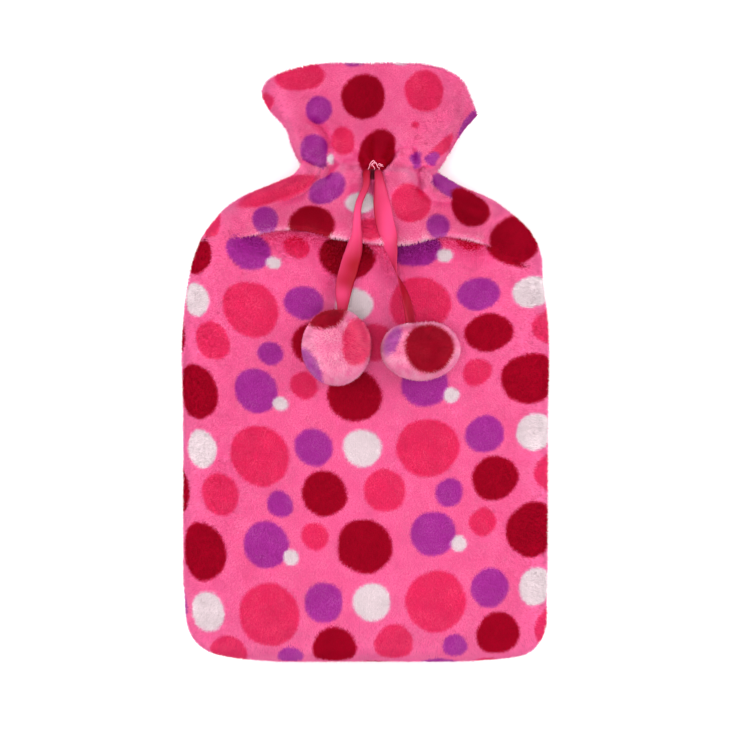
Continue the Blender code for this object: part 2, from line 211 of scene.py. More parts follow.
def piece(name, mesh, *materials):
    """Puts a mesh in the scene as a piece that rides on the cover, at the origin."""
    for material in materials:
        mesh.materials.append(material)
    obj = put_in_scene(name, mesh)
    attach(obj, "root")
    return obj


# %% Smooth curves and soft noise
def step(low, high, x):
    """0 below low, 1 above high, and the smooth rise 3 s^2 - 2 s^3 between."""
    s = np.clip((x - low) / (high - low), 0.0, 1.0)
    return s * s * (3 - 2 * s)


def window(start, full, until, gone, x):
    """0 outside start..gone, 1 within full..until, and a smooth rise and fall between them."""
    return step(start, full, x) * (1 - step(until, gone, x))


def bell(off, reach):
    """1 in the middle, exp(-(off / reach)^2) away from it."""
    return np.exp(-((off / reach) ** 2))


def table_curve(at, table, columns, name):
    """Cubic curve through one column of a table, read at `at` against its first column. Its
    slope at each row is the mean slope round that row."""
    rows = np.array(table)
    knots, values = rows[:, 0], rows[:, columns.index(name)]
    slopes = np.gradient(values, knots)
    i = np.clip(np.searchsorted(knots, at) - 1, 0, len(knots) - 2)
    span = knots[i + 1] - knots[i]
    s = np.clip((at - knots[i]) / span, 0.0, 1.0)
    start = (1 + 2 * s) * (1 - s) ** 2 * values[i] + s * (1 - s) ** 2 * span * slopes[i]
    end = s * s * (3 - 2 * s) * values[i + 1] + s * s * (s - 1) * span * slopes[i + 1]
    return start + end


# Large whole numbers that turn the corners of a lattice into numbers with no visible order.
SCRAMBLE = np.array([73856093, 19349663, 83492791])
SCRAMBLE_SEED = 668265263
SCRAMBLE_ONCE, SCRAMBLE_TWICE = 1274126177, 2246822519


def soft_noise(place, grain, seed):
    """Smooth noise from -1 to 1: each corner of a lattice of pitch `grain` holds a scrambled
    number, and a place takes the smooth mix of the numbers at the corners round it."""
    at = np.asarray(place) / grain
    cell = np.floor(at).astype(np.int64)
    part = at - cell
    part = part * part * (3 - 2 * part)
    total = np.zeros(at.shape[:-1])
    for corner in np.ndindex(*(2,) * at.shape[-1]):
        key = ((cell + corner) * SCRAMBLE[: at.shape[-1]]).sum(axis=-1) + seed * SCRAMBLE_SEED
        key = (key ^ (key >> 13)) * SCRAMBLE_ONCE
        key = (key ^ (key >> 16)) * SCRAMBLE_TWICE
        number = ((key ^ (key >> 15)) & 0xFFFF) / 32767.5 - 1.0
        total += number * np.where(corner, part, 1 - part).prod(axis=-1)
    return total


def unit(vectors):
    return vectors / np.maximum(np.linalg.norm(vectors, axis=-1, keepdims=True), 1e-12)


def run_along(points):
    """Length along a line of points, from its first point to each of them."""
    return np.concatenate([[0.0], np.cumsum(np.linalg.norm(np.diff(points, axis=0), axis=1))])


def cell_normals(grid):
    """The cross product of each cell's diagonals: its normal, and twice its area long."""
    return np.cross(grid[1:, 1:] - grid[:-1, :-1], grid[1:, :-1] - grid[:-1, 1:])


def cell_areas(grid):
    return np.linalg.norm(cell_normals(grid), axis=-1) / 2


def vertex_normals(grid):
    """Unit normals of a grid of points, each the mean of its faces' normals."""
    total = np.zeros_like(grid)
    for rows in (slice(0, -1), slice(1, None)):
        for cols in (slice(0, -1), slice(1, None)):
            total[rows, cols] += cell_normals(grid)
    return unit(total)


# %% One helper for every node
def add_node(tree, kind, inputs=None, **settings):
    """Adds a node. `inputs` gives a value or another node's output for each socket."""
    node = tree.nodes.new(kind)
    for setting, value in settings.items():
        setattr(node, setting, value)
    for socket, value in (inputs or {}).items():
        if isinstance(value, bpy.types.NodeSocket):
            tree.links.new(value, node.inputs[socket])
        else:
            node.inputs[socket].default_value = value
    return node


def new_material(name):
    """An empty material: its node tree and its Principled shader."""
    material = bpy.data.materials.new(name)
    material.use_nodes = True
    return material, material.node_tree, material.node_tree.nodes["Principled BSDF"]


# %% The table it lies on
TABLE_WHITE = "#FAFAFA"
TABLE_HALF = 3000.0
corners = np.array([[-1, -1, 0], [1, -1, 0], [1, 1, 0], [-1, 1, 0]]) * TABLE_HALF
table_top = put_in_scene("table_top", new_mesh("table_top", corners, np.array([[0, 1, 2, 3]])))
# Card with a matt white coat: it scatters light evenly and mirrors nothing.
matt_board, _, shader = new_material("matt_white_board")
shader.inputs["Base Color"].default_value = (*linear(TABLE_WHITE), 1.0)
shader.inputs["Roughness"].default_value = 0.8
table_top.data.materials.append(matt_board)

# %% [markdown]
# ## The ribbon's two tails
#
# The drawstring is a satin ribbon, woven 11 mm wide. It is crushed together in the slit and opens
# out as it runs down: the left tail lies nearly flat, and the right one turns on its edge half way.
# A ribbon keeps its width, whatever it does. So each tail is a band that is swept along its route
# with one constant width, and two numbers change on the way: how far the band is rolled over, and
# how much it is curled up across, from flat to nearly a tube.

# %% Routes and turns of the tails
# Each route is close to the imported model's: x, y, z in mm, from the slit down to the ball.
TAIL_ROUTES = {
    "ribbon_left": (
        (0.6, 113.4, 30.6),
        (0.6, 112.9, 35.2),
        (0.4, 111.1, 39.4),
        (0.6, 107.8, 42.0),
        (0.2, 103.8, 43.2),
        (-1.7, 99.4, 43.6),
        (-3.6, 94.8, 44.9),
        (-4.7, 90.0, 46.1),
        (-5.1, 85.0, 47.3),
        (-5.3, 80.0, 48.6),
        (-5.4, 75.2, 49.6),
        (-6.2, 70.2, 50.0),
        (-7.2, 64.6, 50.0),
        (-8.8, 58.8, 50.3),
        (-10.4, 52.8, 51.0),
        (-12.1, 46.8, 52.2),
        (-13.2, 41.0, 54.0),
        (-13.8, 35.6, 56.4),
        (-14.1, 31.0, 59.0),
        (-14.4, 28.3, 60.7),
    ),
    "ribbon_right": (
        (7.8, 113.4, 30.6),
        (7.8, 112.9, 35.2),
        (8.0, 111.2, 39.8),
        (8.4, 107.9, 42.6),
        (8.9, 103.8, 43.6),
        (9.4, 99.4, 43.9),
        (9.7, 94.8, 45.2),
        (10.3, 90.0, 46.3),
        (11.0, 85.0, 47.4),
        (12.1, 80.0, 48.7),
        (13.4, 75.0, 49.8),
        (14.3, 69.6, 50.4),
        (15.7, 63.8, 51.0),
        (16.9, 57.8, 51.8),
        (18.3, 51.8, 52.7),
        (20.6, 46.0, 53.6),
        (22.2, 40.4, 54.7),
        (23.4, 34.8, 56.2),
        (24.4, 29.6, 57.8),
        (25.0, 25.2, 59.4),
        (25.4, 21.8, 60.7),
    ),
}
# How each tail turns, from the slit (0) to its ball (1): roll in degrees, curl in radians, and the
# satin's painted sheen and shade (0 painted deep shade, 1 painted highlight) at its left edge, its
# middle and its right edge.
TURN_COLUMNS = ("along", "roll", "curl", "left", "middle", "right")
TAIL_TURNS = {
    "ribbon_left": (
        (0.00, 10.0, 4.6, 0.00, 0.05, 0.15),
        (0.12, 12.0, 5.4, 0.00, 0.10, 0.30),
        (0.19, 14.0, 5.8, 0.20, 0.30, 0.45),
        (0.26, 16.0, 5.8, 0.60, 0.55, 0.50),
        (0.40, 16.0, 4.9, 0.85, 0.95, 0.60),
        (0.46, 12.0, 4.1, 0.85, 0.85, 0.50),
        (0.53, 6.0, 2.6, 0.80, 0.65, 0.35),
        (0.60, 2.0, 1.5, 0.70, 0.35, 0.15),
        (0.66, -4.0, 0.9, 0.60, 0.10, 0.00),
        (0.73, -8.0, 0.6, 0.45, 0.15, 0.00),
        (0.79, -6.0, 1.2, 0.30, 0.15, 0.00),
        (0.87, 6.0, 2.3, 0.65, 0.70, 0.30),
        (0.94, 14.0, 3.4, 0.25, 0.40, 0.15),
        (1.00, 18.0, 4.2, 0.00, 0.15, 0.00),
    ),
    "ribbon_right": (
        (0.00, -8.0, 4.6, 0.20, 0.25, 0.15),
        (0.12, -8.0, 4.1, 0.25, 0.30, 0.25),
        (0.18, -6.0, 3.0, 0.30, 0.55, 0.65),
        (0.26, -2.0, 1.6, 0.20, 0.60, 0.85),
        (0.39, 4.0, 0.6, 0.15, 0.85, 0.85),
        (0.45, 16.0, 0.5, 0.45, 0.95, 0.60),
        (0.52, 42.0, 0.5, 0.95, 0.85, 0.30),
        (0.60, 68.0, 0.4, 0.60, 0.55, 0.40),
        (0.68, 90.0, 0.4, 0.10, 0.25, 0.50),
        (0.77, 110.0, 0.5, 0.05, 0.05, 0.20),
        (0.84, 120.0, 1.4, 0.05, 0.05, 0.15),
        (0.90, 126.0, 2.4, 0.10, 0.05, 0.15),
        (1.00, 128.0, 3.4, 0.15, 0.10, 0.15),
    ),
}
RIBBON_WIDTH = 11.0
RIBBON_THICK = 0.3
TAIL_STATIONS = 120
TAIL_COLUMNS = 15


# %% A band swept along a route
def smooth_route(route, stations):
    """Points at an even pitch along a smooth curve through the route's own points."""
    knots = np.array(route)
    run = run_along(knots)
    at = np.linspace(0.0, run[-1], stations)
    rows = np.column_stack([run, knots])
    return np.column_stack([table_curve(at, rows, ("run", "x", "y", "z"), axis) for axis in "xyz"])


def band_points(path, turns, columns):
    """Points of a ribbon's two faces on a grid of stations by columns, and their map in mm.
    Across the band, the profile is an arc of constant length w: at a in -1..1 it stands at
    r sin(c a / 2) sideways and r cos(c a / 2) upwards, where c is the curl and r = w / c."""
    along = np.linspace(0, 1, len(path))[:, None]
    a = np.linspace(-1, 1, columns)
    roll = np.radians(table_curve(along, turns, TURN_COLUMNS, "roll"))[..., None]
    curl = table_curve(along, turns, TURN_COLUMNS, "curl")
    run = unit(np.gradient(path, axis=0))[:, None]
    side = unit(np.array([1.0, 0.0, 0.0]) - run * run[..., :1])
    up = np.cross(run, side)
    side, up = side * np.cos(roll) + up * np.sin(roll), up * np.cos(roll) - side * np.sin(roll)
    radius = RIBBON_WIDTH / curl
    sideways = radius * np.sin(curl * a / 2)
    upwards = radius * (np.cos(curl * a / 2) - np.sin(curl / 2) / (curl / 2))
    out = np.sin(curl * a / 2)[..., None] * side + np.cos(curl * a / 2)[..., None] * up
    middle = path[:, None] + sideways[..., None] * side + upwards[..., None] * up
    places = np.stack(
        np.broadcast_arrays(run_along(path)[:, None], a * RIBBON_WIDTH / 2), axis=-1
    )
    # Painted sheen and shade of the satin across the band, from the three edge columns of the
    # turns.
    edge = [table_curve(along, turns, TURN_COLUMNS, c) for c in ("left", "middle", "right")]
    painted_satin_sheen = edge[1] * (1 - a**2) + edge[0] * a * (a - 1) / 2 + edge[2] * a * (a + 1) / 2
    return middle + out * RIBBON_THICK / 2, middle - out * RIBBON_THICK / 2, places, painted_satin_sheen


def closed_band(name, path, turns):
    """The mesh of a closed band: each section's upper face, then its lower face backwards."""
    upper, lower, places, painted_satin_sheen = band_points(path, turns, TAIL_COLUMNS)
    ring = np.concatenate([upper, lower[:, ::-1]], axis=1)
    marks = np.concatenate([places, places[:, ::-1]], axis=1)
    light = np.concatenate([painted_satin_sheen, painted_satin_sheen[:, ::-1]], axis=1).ravel()
    rows, cols = ring.shape[:2]
    index = np.arange(rows * cols).reshape(rows, cols)
    quads = ring_quads(index)
    half = cols // 2
    facing = index[:, :half], index[:, : half - 1 : -1]
    ends = [
        np.stack([f[0][r, :-1], f[1][r, :-1], f[1][r, 1:], f[0][r, 1:]], axis=-1)[:, ::way]
        for f, r, way in ((facing, 0, 1), (facing, -1, -1))
    ]
    mesh = new_mesh(name, ring.reshape(-1, 3), np.concatenate([quads, *ends])[:, ::-1])
    mesh.shade_smooth()
    give_map(mesh, "ribbon_mm", marks.reshape(-1, 2))
    # The painted sheen and shade go on the band as a colour attribute.
    give_colours(mesh, "painted_satin_sheen", np.repeat(np.clip(light, 0, 1)[:, None], 3, axis=1))
    return mesh


# %% [markdown]
# ### Satin
#
# Satin is woven so that long floats of smooth yarn lie on one face. It is shiny along broad soft
# streaks, not mirror-like, and a fine cross rib is just visible. Its colour here is painted light:
# a light warm pink where the band would face the lamp, and a deep raspberry where it turns away,
# laid along the band as painted sheen and shade by the last three columns above. The real yarns
# are about 0.15 mm, too fine for the picture, so the rib is drawn at 0.5 mm.

# %% Satin material
# Painted lit and painted shaded tones of the one satin.
SATIN_PAINTED_LIT = "#C83A69"
SATIN_PAINTED_SHADE = "#8A0319"
SATIN_RIB = 0.5
# Blender's wave repeats every 0.314 of its input at scale 1, so 0.314 / pitch sets a real pitch.
WAVE_PITCH = 0.314


def satin_ribbon():
    material, tree, shader = new_material("satin_ribbon")
    place = add_node(tree, "ShaderNodeUVMap", uv_map="ribbon_mm")
    rib = add_node(
        tree,
        "ShaderNodeTexWave",
        {
            "Vector": place.outputs[0],
            "Scale": WAVE_PITCH / SATIN_RIB,
            "Distortion": 0.6,
            "Detail": 1.0,
        },
        bands_direction="X",
    )
    # The painted sheen and shade mix the two painted tones.
    painted_satin_sheen = add_node(
        tree, "ShaderNodeAttribute", attribute_name="painted_satin_sheen", attribute_type="GEOMETRY"
    )
    tone = add_node(
        tree,
        "ShaderNodeMix",
        {0: painted_satin_sheen.outputs["Fac"], 6: (*linear(SATIN_PAINTED_SHADE), 1), 7: (*linear(SATIN_PAINTED_LIT), 1)},
        data_type="RGBA",
    )
    bump = add_node(
        tree, "ShaderNodeBump", {"Height": rib.outputs["Fac"], "Strength": 0.2, "Distance": 0.0001}
    )
    tree.links.new(tone.outputs[2], shader.inputs["Base Color"])
    tree.links.new(bump.outputs[0], shader.inputs["Normal"])
    shader.inputs["Roughness"].default_value = 0.46
    shader.inputs["Specular IOR Level"].default_value = 0.09
    shader.inputs["Anisotropic"].default_value = 0.5
    return material


satin = satin_ribbon()
print("satin from", SATIN_PAINTED_SHADE, "to", SATIN_PAINTED_LIT)

# %% Both tails
tail_paths = {}
for name, route in TAIL_ROUTES.items():
    path = smooth_route(route, TAIL_STATIONS)
    tail_paths[name] = path
    piece(f"satin_{name}", closed_band(name, path, TAIL_TURNS[name]), satin)
    print(name, "is", round(run_along(path)[-1], 1), "mm long")

# %% [markdown]
# ## The shape of the bag
#
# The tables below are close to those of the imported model: sections of the bag across its length,
# the free edges of the ruffle, the flap's hem, and the folds that start where the ribbon draws the
# neck in. Each panel is a function of two parameters, `across` from the left seam (-1) to the
# right seam (1), and the place along the bag. Here they are read on a much finer grid, and small
# creases are added that only show at this size.

# %% Sections of the bag and edges of the ruffle
CLOTH = 2.0
GAP = 0.3
LAP_DROP = CLOTH + 0.8
SECTION_COLUMNS = ("y", "left", "right", "seam", "front", "back", "square")
SECTIONS = (
    (-178.0, -107.6, 107.4, 21.0, 27.0, 24.5, 3.6),
    (-120.0, -108.0, 107.8, 21.0, 27.0, 24.5, 3.6),
    (-40.0, -108.0, 108.0, 21.0, 27.6, 24.5, 3.6),
    (26.0, -107.9, 107.8, 21.0, 27.2, 24.5, 3.6),
    (50.0, -104.6, 104.8, 21.0, 26.4, 24.0, 3.4),
    (64.0, -101.2, 103.8, 20.8, 25.4, 23.0, 3.3),
    (74.0, -96.8, 99.8, 20.6, 24.4, 22.0, 3.1),
    (83.0, -90.3, 92.4, 20.4, 23.0, 20.6, 3.0),
    (90.0, -84.0, 83.6, 20.3, 21.8, 19.4, 2.8),
    (95.0, -77.5, 76.8, 20.2, 20.8, 18.4, 2.7),
    (99.0, -69.4, 69.4, 20.1, 20.0, 17.6, 2.6),
    (104.0, -54.2, 59.0, 20.0, 18.8, 16.4, 2.5),
    (108.0, -43.6, 52.4, 20.0, 17.6, 15.6, 2.4),
    (112.0, -39.4, 46.4, 20.0, 16.6, 14.8, 2.4),
    (116.0, -38.0, 42.4, 20.0, 15.8, 14.4, 2.4),
)
BOTTOM = -178.6
NECK = 116.0
NECK_SLANT = -2.2
SLANT_START = 92.0
END_LENGTH = 46.0
END_SQUARE = 3.0
# How far each bottom corner cuts in, at each height above the bottom seam.
CORNER_COLUMNS = ("rise", "left", "right")
CORNERS = (
    (0.0, 56.0, 50.0),
    (1.8, 33.0, 25.0),
    (3.6, 21.6, 14.0),
    (5.4, 15.2, 9.4),
    (7.2, 11.6, 7.2),
    (9.0, 9.0, 5.6),
    (10.8, 7.2, 4.2),
    (12.6, 5.8, 3.0),
    (18.6, 2.8, 0.8),
    (27.0, 1.2, 0.2),
    (36.0, 0.9, 0.4),
    (46.0, 0.0, 0.0),
)
EDGE_COLUMNS = ("across", "x", "y", "z")
FRONT_EDGE = (
    (-1.00, -62.4, 162.0, 13.0),
    (-0.88, -58.4, 168.4, 20.0),
    (-0.74, -50.0, 172.4, 26.0),
    (-0.54, -37.0, 175.8, 29.5),
    (-0.30, -21.0, 177.4, 33.0),
    (0.00, 0.5, 177.6, 30.0),
    (0.30, 21.0, 177.5, 33.5),
    (0.54, 39.0, 176.4, 30.0),
    (0.72, 51.3, 172.4, 27.0),
    (0.86, 59.8, 165.2, 22.5),
    (0.94, 63.4, 156.6, 17.5),
    (1.00, 67.4, 148.2, 12.4),
)
BACK_EDGE = (
    (-1.00, -62.4, 162.0, 13.0),
    (-0.88, -58.0, 167.0, 7.5),
    (-0.74, -49.6, 170.4, 3.6),
    (-0.54, -37.4, 172.6, 1.0),
    (-0.30, -21.0, 173.4, 0.0),
    (0.00, 0.5, 174.6, 2.6),
    (0.30, 21.6, 174.6, 0.0),
    (0.54, 38.6, 172.6, 0.6),
    (0.72, 50.6, 168.8, 3.0),
    (0.86, 59.2, 161.8, 6.6),
    (0.94, 63.6, 154.6, 9.6),
    (1.00, 67.4, 148.2, 12.4),
)
# How far the ruffle's side seams curve in from a straight line, from the neck (0) to the edge (1).
SIDE_COLUMNS = ("up", "left", "right")
RUFFLE_SIDES = (
    (0.00, 0.0, 0.0),
    (0.20, 0.6, 0.4),
    (0.34, 1.6, 0.6),
    (0.46, 3.0, 0.9),
    (0.58, 1.8, 1.4),
    (0.74, -1.0, 1.6),
    (0.90, -1.0, 0.8),
    (1.00, 0.0, 0.0),
)
HEM_COLUMNS = ("across", "y")
FLAP_HEM = (
    (-1.00, 72.0),
    (-0.60, 73.4),
    (-0.49, 75.6),
    (-0.36, 78.6),
    (-0.24, 78.0),
    (-0.13, 74.0),
    (0.00, 71.0),
    (0.15, 69.8),
    (0.25, 73.2),
    (0.32, 74.8),
    (0.41, 72.8),
    (0.52, 68.8),
    (0.60, 63.4),
    (0.70, 57.4),
    (1.00, 49.0),
)
LOWER_HEM = 98.0
print(len(SECTIONS), "sections from", SECTIONS[0][0], "to", SECTIONS[-1][0], "mm")

# %% Folds
# Two ends, half width and height in mm of each. A negative height is a crease.
FRONT_FOLDS = (
    (-33.0, 116.5, -76.0, 94.0, 8.0, 4.0),
    (-20.0, 117.0, -38.0, 102.0, 3.8, -2.0),
    (-17.5, 116.5, -46.0, 97.0, 4.8, 2.0),
    (-14.0, 117.0, -60.0, 91.0, 4.8, -3.4),
    (-7.0, 116.0, -28.0, 82.0, 8.0, 2.4),
    (4.2, 114.5, 4.4, 90.0, 4.4, -1.8),
    (15.0, 115.0, 23.0, 86.0, 9.0, 3.4),
    (27.5, 115.0, 41.0, 97.0, 4.0, -3.4),
    (33.0, 114.5, 50.0, 96.0, 5.2, 2.6),
    (38.0, 114.0, 60.0, 98.0, 3.8, -1.8),
    (-33.0, 116.0, -48.0, 160.0, 8.0, 1.8),
    (-24.0, 116.0, -28.0, 142.0, 4.4, -2.6),
    (-13.0, 116.0, -14.0, 152.0, 7.0, 1.8),
    (7.0, 116.0, 5.0, 150.0, 7.0, 1.4),
    (18.5, 116.0, 18.0, 142.0, 4.2, -2.2),
    (25.0, 115.0, 33.0, 152.0, 6.0, 1.6),
    (31.5, 115.0, 33.0, 133.0, 3.6, -2.0),
    (38.0, 114.0, 57.0, 146.0, 7.0, 1.4),
)
BACK_FOLDS = (
    (-28.0, 116.0, -62.0, 88.0, 6.0, -2.6),
    (-12.0, 116.0, -20.0, 84.0, 6.0, -2.4),
    (5.0, 116.0, 6.0, 86.0, 6.0, -2.6),
    (20.0, 116.0, 32.0, 86.0, 6.0, -2.4),
    (33.0, 116.0, 60.0, 90.0, 5.0, -2.4),
    (-20.0, 116.0, -30.0, 150.0, 6.0, -2.2),
    (12.0, 116.0, 12.0, 150.0, 6.0, -2.4),
    (30.0, 116.0, 42.0, 146.0, 5.0, -2.2),
)
# Broad soft swells and hollows of the filled-looking front: x, y, reach and height.
SWELLS = (
    (-58.0, -96.0, 46.0, 0.9),
    (52.0, -60.0, 40.0, -0.8),
    (-46.0, 8.0, 44.0, -0.7),
    (66.0, 22.0, 36.0, 0.8),
    (6.0, -134.0, 40.0, -0.8),
)
# Sharper creases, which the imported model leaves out. Each runs along a route of pixels. To the
# left and to the right of the route the cloth stands up, or sinks, by a rise and over a reach in
# mm. Where one side rises and the other sinks, a roll of cloth laps over its neighbour.
CREASES = (
    # left rise, reach, right rise, reach, route
    # from the neck's left corner over the left shoulder
    (2.4, 5.0, -2.0, 3.0, ((301, 156), (308, 160), (314, 163.3), (319, 167.3), (321.5, 169.8))),
    (
        *(-0.9, 5.0, 2.2, 8.0),
        ((321, 168), (316.5, 176), (312.5, 184), (307, 192), (296, 197), (268, 205.5)),
    ),
    (1.6, 3.6, 1.6, 4.0, ((328, 168), (322, 176), (319, 184), (314, 194), (304, 201))),
    (-1.7, 2.4, -1.7, 2.4, ((338, 163), (332, 171), (328, 177), (324, 186))),
    (1.4, 5.5, 1.4, 5.5, ((352, 167), (350, 176), (346, 188))),
    (-0.9, 3.0, -0.9, 3.0, ((355, 180), (353, 190), (350, 202))),
    # on the ruffle, left
    (
        *(-1.7, 3.4, -1.7, 3.4),
        ((306, 119), (316, 125.5), (322, 130), (328, 139), (329.5, 150), (329, 164)),
    ),
    (1.6, 6.0, 1.6, 6.0, ((299, 128), (308, 144), (315, 158))),
    (1.0, 6.0, 1.0, 6.0, ((341, 124), (343, 142), (341, 158))),
    # at the slit and below the dark red dot
    (1.4, 5.0, -1.5, 3.6, ((400, 151), (396, 160), (389, 168), (382.5, 176))),
    (2.2, 6.5, 2.2, 6.5, ((403, 171), (402, 182), (404, 196))),
    (-0.9, 1.5, -0.9, 1.5, ((342, 163), (349, 160.8), (358, 160.8))),
    (-0.8, 1.5, -0.8, 1.5, ((372, 178), (373, 192), (375, 212))),
    (-0.7, 1.8, -0.7, 1.8, ((364, 168), (354, 174), (345, 183))),
    (-0.9, 2.0, -0.9, 2.0, ((366, 163), (357, 157), (350, 147))),
    (-0.9, 2.2, -0.9, 2.2, ((372, 162), (371, 148), (373, 134))),
    (-0.9, 2.2, -0.9, 2.2, ((382, 162), (389, 149), (393, 136))),
    (-0.6, 1.0, -0.6, 1.0, ((396, 160), (404, 163), (413, 167))),
    (-0.6, 1.0, -0.6, 1.0, ((397, 155.5), (405, 155), (413, 157))),
    (-0.6, 1.0, -0.6, 1.0, ((397, 150.5), (404, 148.5), (412, 148))),
    # the pinch at the right of the neck
    (-1.4, 2.0, -1.4, 2.0, ((415, 146), (415, 156), (415.3, 168))),
    (1.2, 3.4, -1.8, 2.4, ((415, 170), (423, 165.2), (429, 164.3), (438, 163))),
    (
        *(-1.1, 2.6, -1.1, 2.6),
        ((416.5, 168), (419.7, 176), (419.7, 183), (418, 189), (423, 197), (432, 205)),
    ),
    (2.2, 2.8, 2.2, 2.8, ((424, 169), (428, 182), (430.5, 193), (436, 203))),
    (-2.0, 1.9, -2.0, 1.9, ((429, 172), (433, 183), (435, 195))),
    (1.5, 6.0, 1.5, 6.0, ((437, 169), (446, 182), (455, 197))),
    (0.6, 6.0, -0.8, 4.0, ((430, 200), (440, 202), (450, 202.5), (460, 203))),
    (1.3, 4.0, 1.3, 4.0, ((424, 144), (425, 152), (425, 161))),
)
# The lower front sinks a little on the left of each tail, and there it gets a painted shadow of the
# tail.
TROUGHS = (
    (-0.4, 6.0, -0.4, 4.0, ((334, 246), (331, 262), (330, 285), (335, 303))),
    (-0.4, 7.0, -0.4, 4.0, ((378, 240), (385, 256), (390, 276), (394, 292))),
)
CREASE_POINTS = 14
CREASE_MEET = 0.75
CREASE_DEPTH = 0.9
# Folds and creases vanish at the side seams as 1 - |side| ^ SEAM_FADE.
SEAM_FADE = 8
print(len(FRONT_FOLDS), "folds,", len(SWELLS), "swells and", len(CREASES), "creases in front")


# %% Surfaces of the bag and of the ruffle
def seam_height(y):
    return table_curve(y, SECTIONS, SECTION_COLUMNS, "seam")


def bag_surface(across, y, front):
    """Points of the bag below its neck. Across, the section is a squared-off half oval:
    side = sin(90 deg * across) and height = bulge * sqrt(1 - |side| ^ square)."""
    column = {name: table_curve(y, SECTIONS, SECTION_COLUMNS, name) for name in SECTION_COLUMNS[1:]}
    side = np.sin(across * np.pi / 2)
    into_end = np.clip((BOTTOM + END_LENGTH - y) / END_LENGTH, 0.0, 1.0)
    cut = [table_curve(y - BOTTOM, CORNERS, CORNER_COLUMNS, end) for end in ("left", "right")]
    reach = np.where(side < 0, -column["left"] - cut[0], column["right"] - cut[1])
    rounding = np.sqrt(1 - into_end**END_SQUARE)
    bulge = rounding * np.sqrt(np.clip(1 - np.abs(side) ** column["square"], 0.0, 1.0))
    slant = NECK_SLANT * step(SLANT_START, NECK, y) * side
    depth = column["front"] if front else -column["back"]
    return np.stack([reach * side, y + slant, column["seam"] + depth * bulge], axis=-1)


def ruffle_surface(across, up, front):
    """Points of the ruffle: straight from the drawn-in neck (up 0) to the free edge (up 1)."""
    edge_table = FRONT_EDGE if front else BACK_EDGE
    neck = bag_surface(across, np.full_like(across, NECK), front)
    edge = np.stack([table_curve(across, edge_table, EDGE_COLUMNS, c) for c in "xyz"], axis=-1)
    points = neck + (edge - neck) * up[..., None]
    inward = [table_curve(up, RUFFLE_SIDES, SIDE_COLUMNS, end) for end in ("left", "right")]
    points[..., 0] += np.abs(across) ** 3 * np.where(across < 0, inward[0], -inward[1])
    return points


def fold_height(x, y, folds):
    """Height of the folds at x, y: each is a bell across its line, exp(-(aside / spread)^2),
    and it widens and fades as it runs from its first end to its second."""
    height = np.zeros_like(x)
    for x0, y0, x1, y1, width, rise in folds:
        run = np.array([x1 - x0, y1 - y0])
        length = np.linalg.norm(run)
        along = ((x - x0) * run[0] + (y - y0) * run[1]) / length**2
        aside = ((x - x0) * run[1] - (y - y0) * run[0]) / length
        spread = width * (1 + 0.7 * np.clip(along, 0, 1))
        height += rise * window(-0.1, 0.12, 0.35, 1.0, along) * bell(aside, spread)
    return height


def crease_height(x, y, creases):
    """Height of the sharper creases at x, y. For each, the nearest point of its route gives the
    distance d and the side: the height is rise * exp(-(d / reach)^2), and the two sides meet
    smoothly over a millimetre and a half. A crease fades out at both ends."""
    place = np.stack([x, y], axis=-1)
    height = np.zeros_like(x)
    for left_rise, left_reach, right_rise, right_reach, pixels in creases:
        flat = np.column_stack([from_photo(pixels), np.zeros(len(pixels))])
        route = smooth_route(flat, CREASE_POINTS)[:, :2]
        start, run = route[:-1], np.diff(route, axis=0)
        off = place[..., None, :] - start
        share = np.clip((off * run).sum(axis=-1) / (run**2).sum(axis=-1), 0, 1)
        aside = off - share[..., None] * run
        far = np.linalg.norm(aside, axis=-1)
        nearest = far.argmin(axis=-1)[..., None]
        turn = run[:, 0] * off[..., 1] - run[:, 1] * off[..., 0]
        far, turn, share = (
            np.take_along_axis(values, nearest, axis=-1)[..., 0] for values in (far, turn, share)
        )
        signed = far * np.sign(turn)
        to_left = step(-CREASE_MEET, CREASE_MEET, signed)
        left = to_left * left_rise * bell(signed, left_reach)
        right = (1 - to_left) * right_rise * bell(signed, right_reach)
        along = (nearest[..., 0] + share) / len(run)
        height += window(-0.05, 0.18, 0.6, 1.0, along) * (left + right)
    return height


def swell_height(x, y):
    """Height of the broad swells of the front at x, y: a bell round each middle."""
    height = np.zeros_like(x)
    for x0, y0, reach, rise in SWELLS:
        height += rise * bell(np.hypot(x - x0, y - y0), reach)
    return height


def off_seams(across):
    """1 over most of a panel, and 0 at its side seams."""
    return 1 - np.abs(np.sin(across * np.pi / 2)) ** SEAM_FADE


def folded(grid, across, folds, swelling):
    """The grid with its folds and swells, which vanish at the side seams."""
    x, y = grid[..., 0], grid[..., 1]
    height = fold_height(x, y, folds) + swelling * swell_height(x, y)
    return grid + vertex_normals(grid) * (height * off_seams(across))[..., None]


def flap_hem(across):
    return table_curve(across, FLAP_HEM, HEM_COLUMNS, "y")


def ruffle_seam(up):
    """Height of the ruffle's side seams, from the neck to its two tips."""
    tip = FRONT_EDGE[0][EDGE_COLUMNS.index("z")]
    return seam_height(NECK) + (tip - seam_height(NECK)) * up


# %% [markdown]
# ## The print
#
# The fleece is printed with dots of many sizes in raspberry, dark red, purple and white on pink.
# The front below the flap shows a plain repeat: ten dots, set again 100 mm to the side and 92 mm
# up. Such a small repeat can be charted, so the dots' middles and widths are read off the
# photograph in pixels. Above the hem the cloth is gathered, so its dots are charted one by one.
# The print is a function of a place on the cloth, in mm, so it bends over the sides with the
# cloth and every fibre can ask it for its colour.

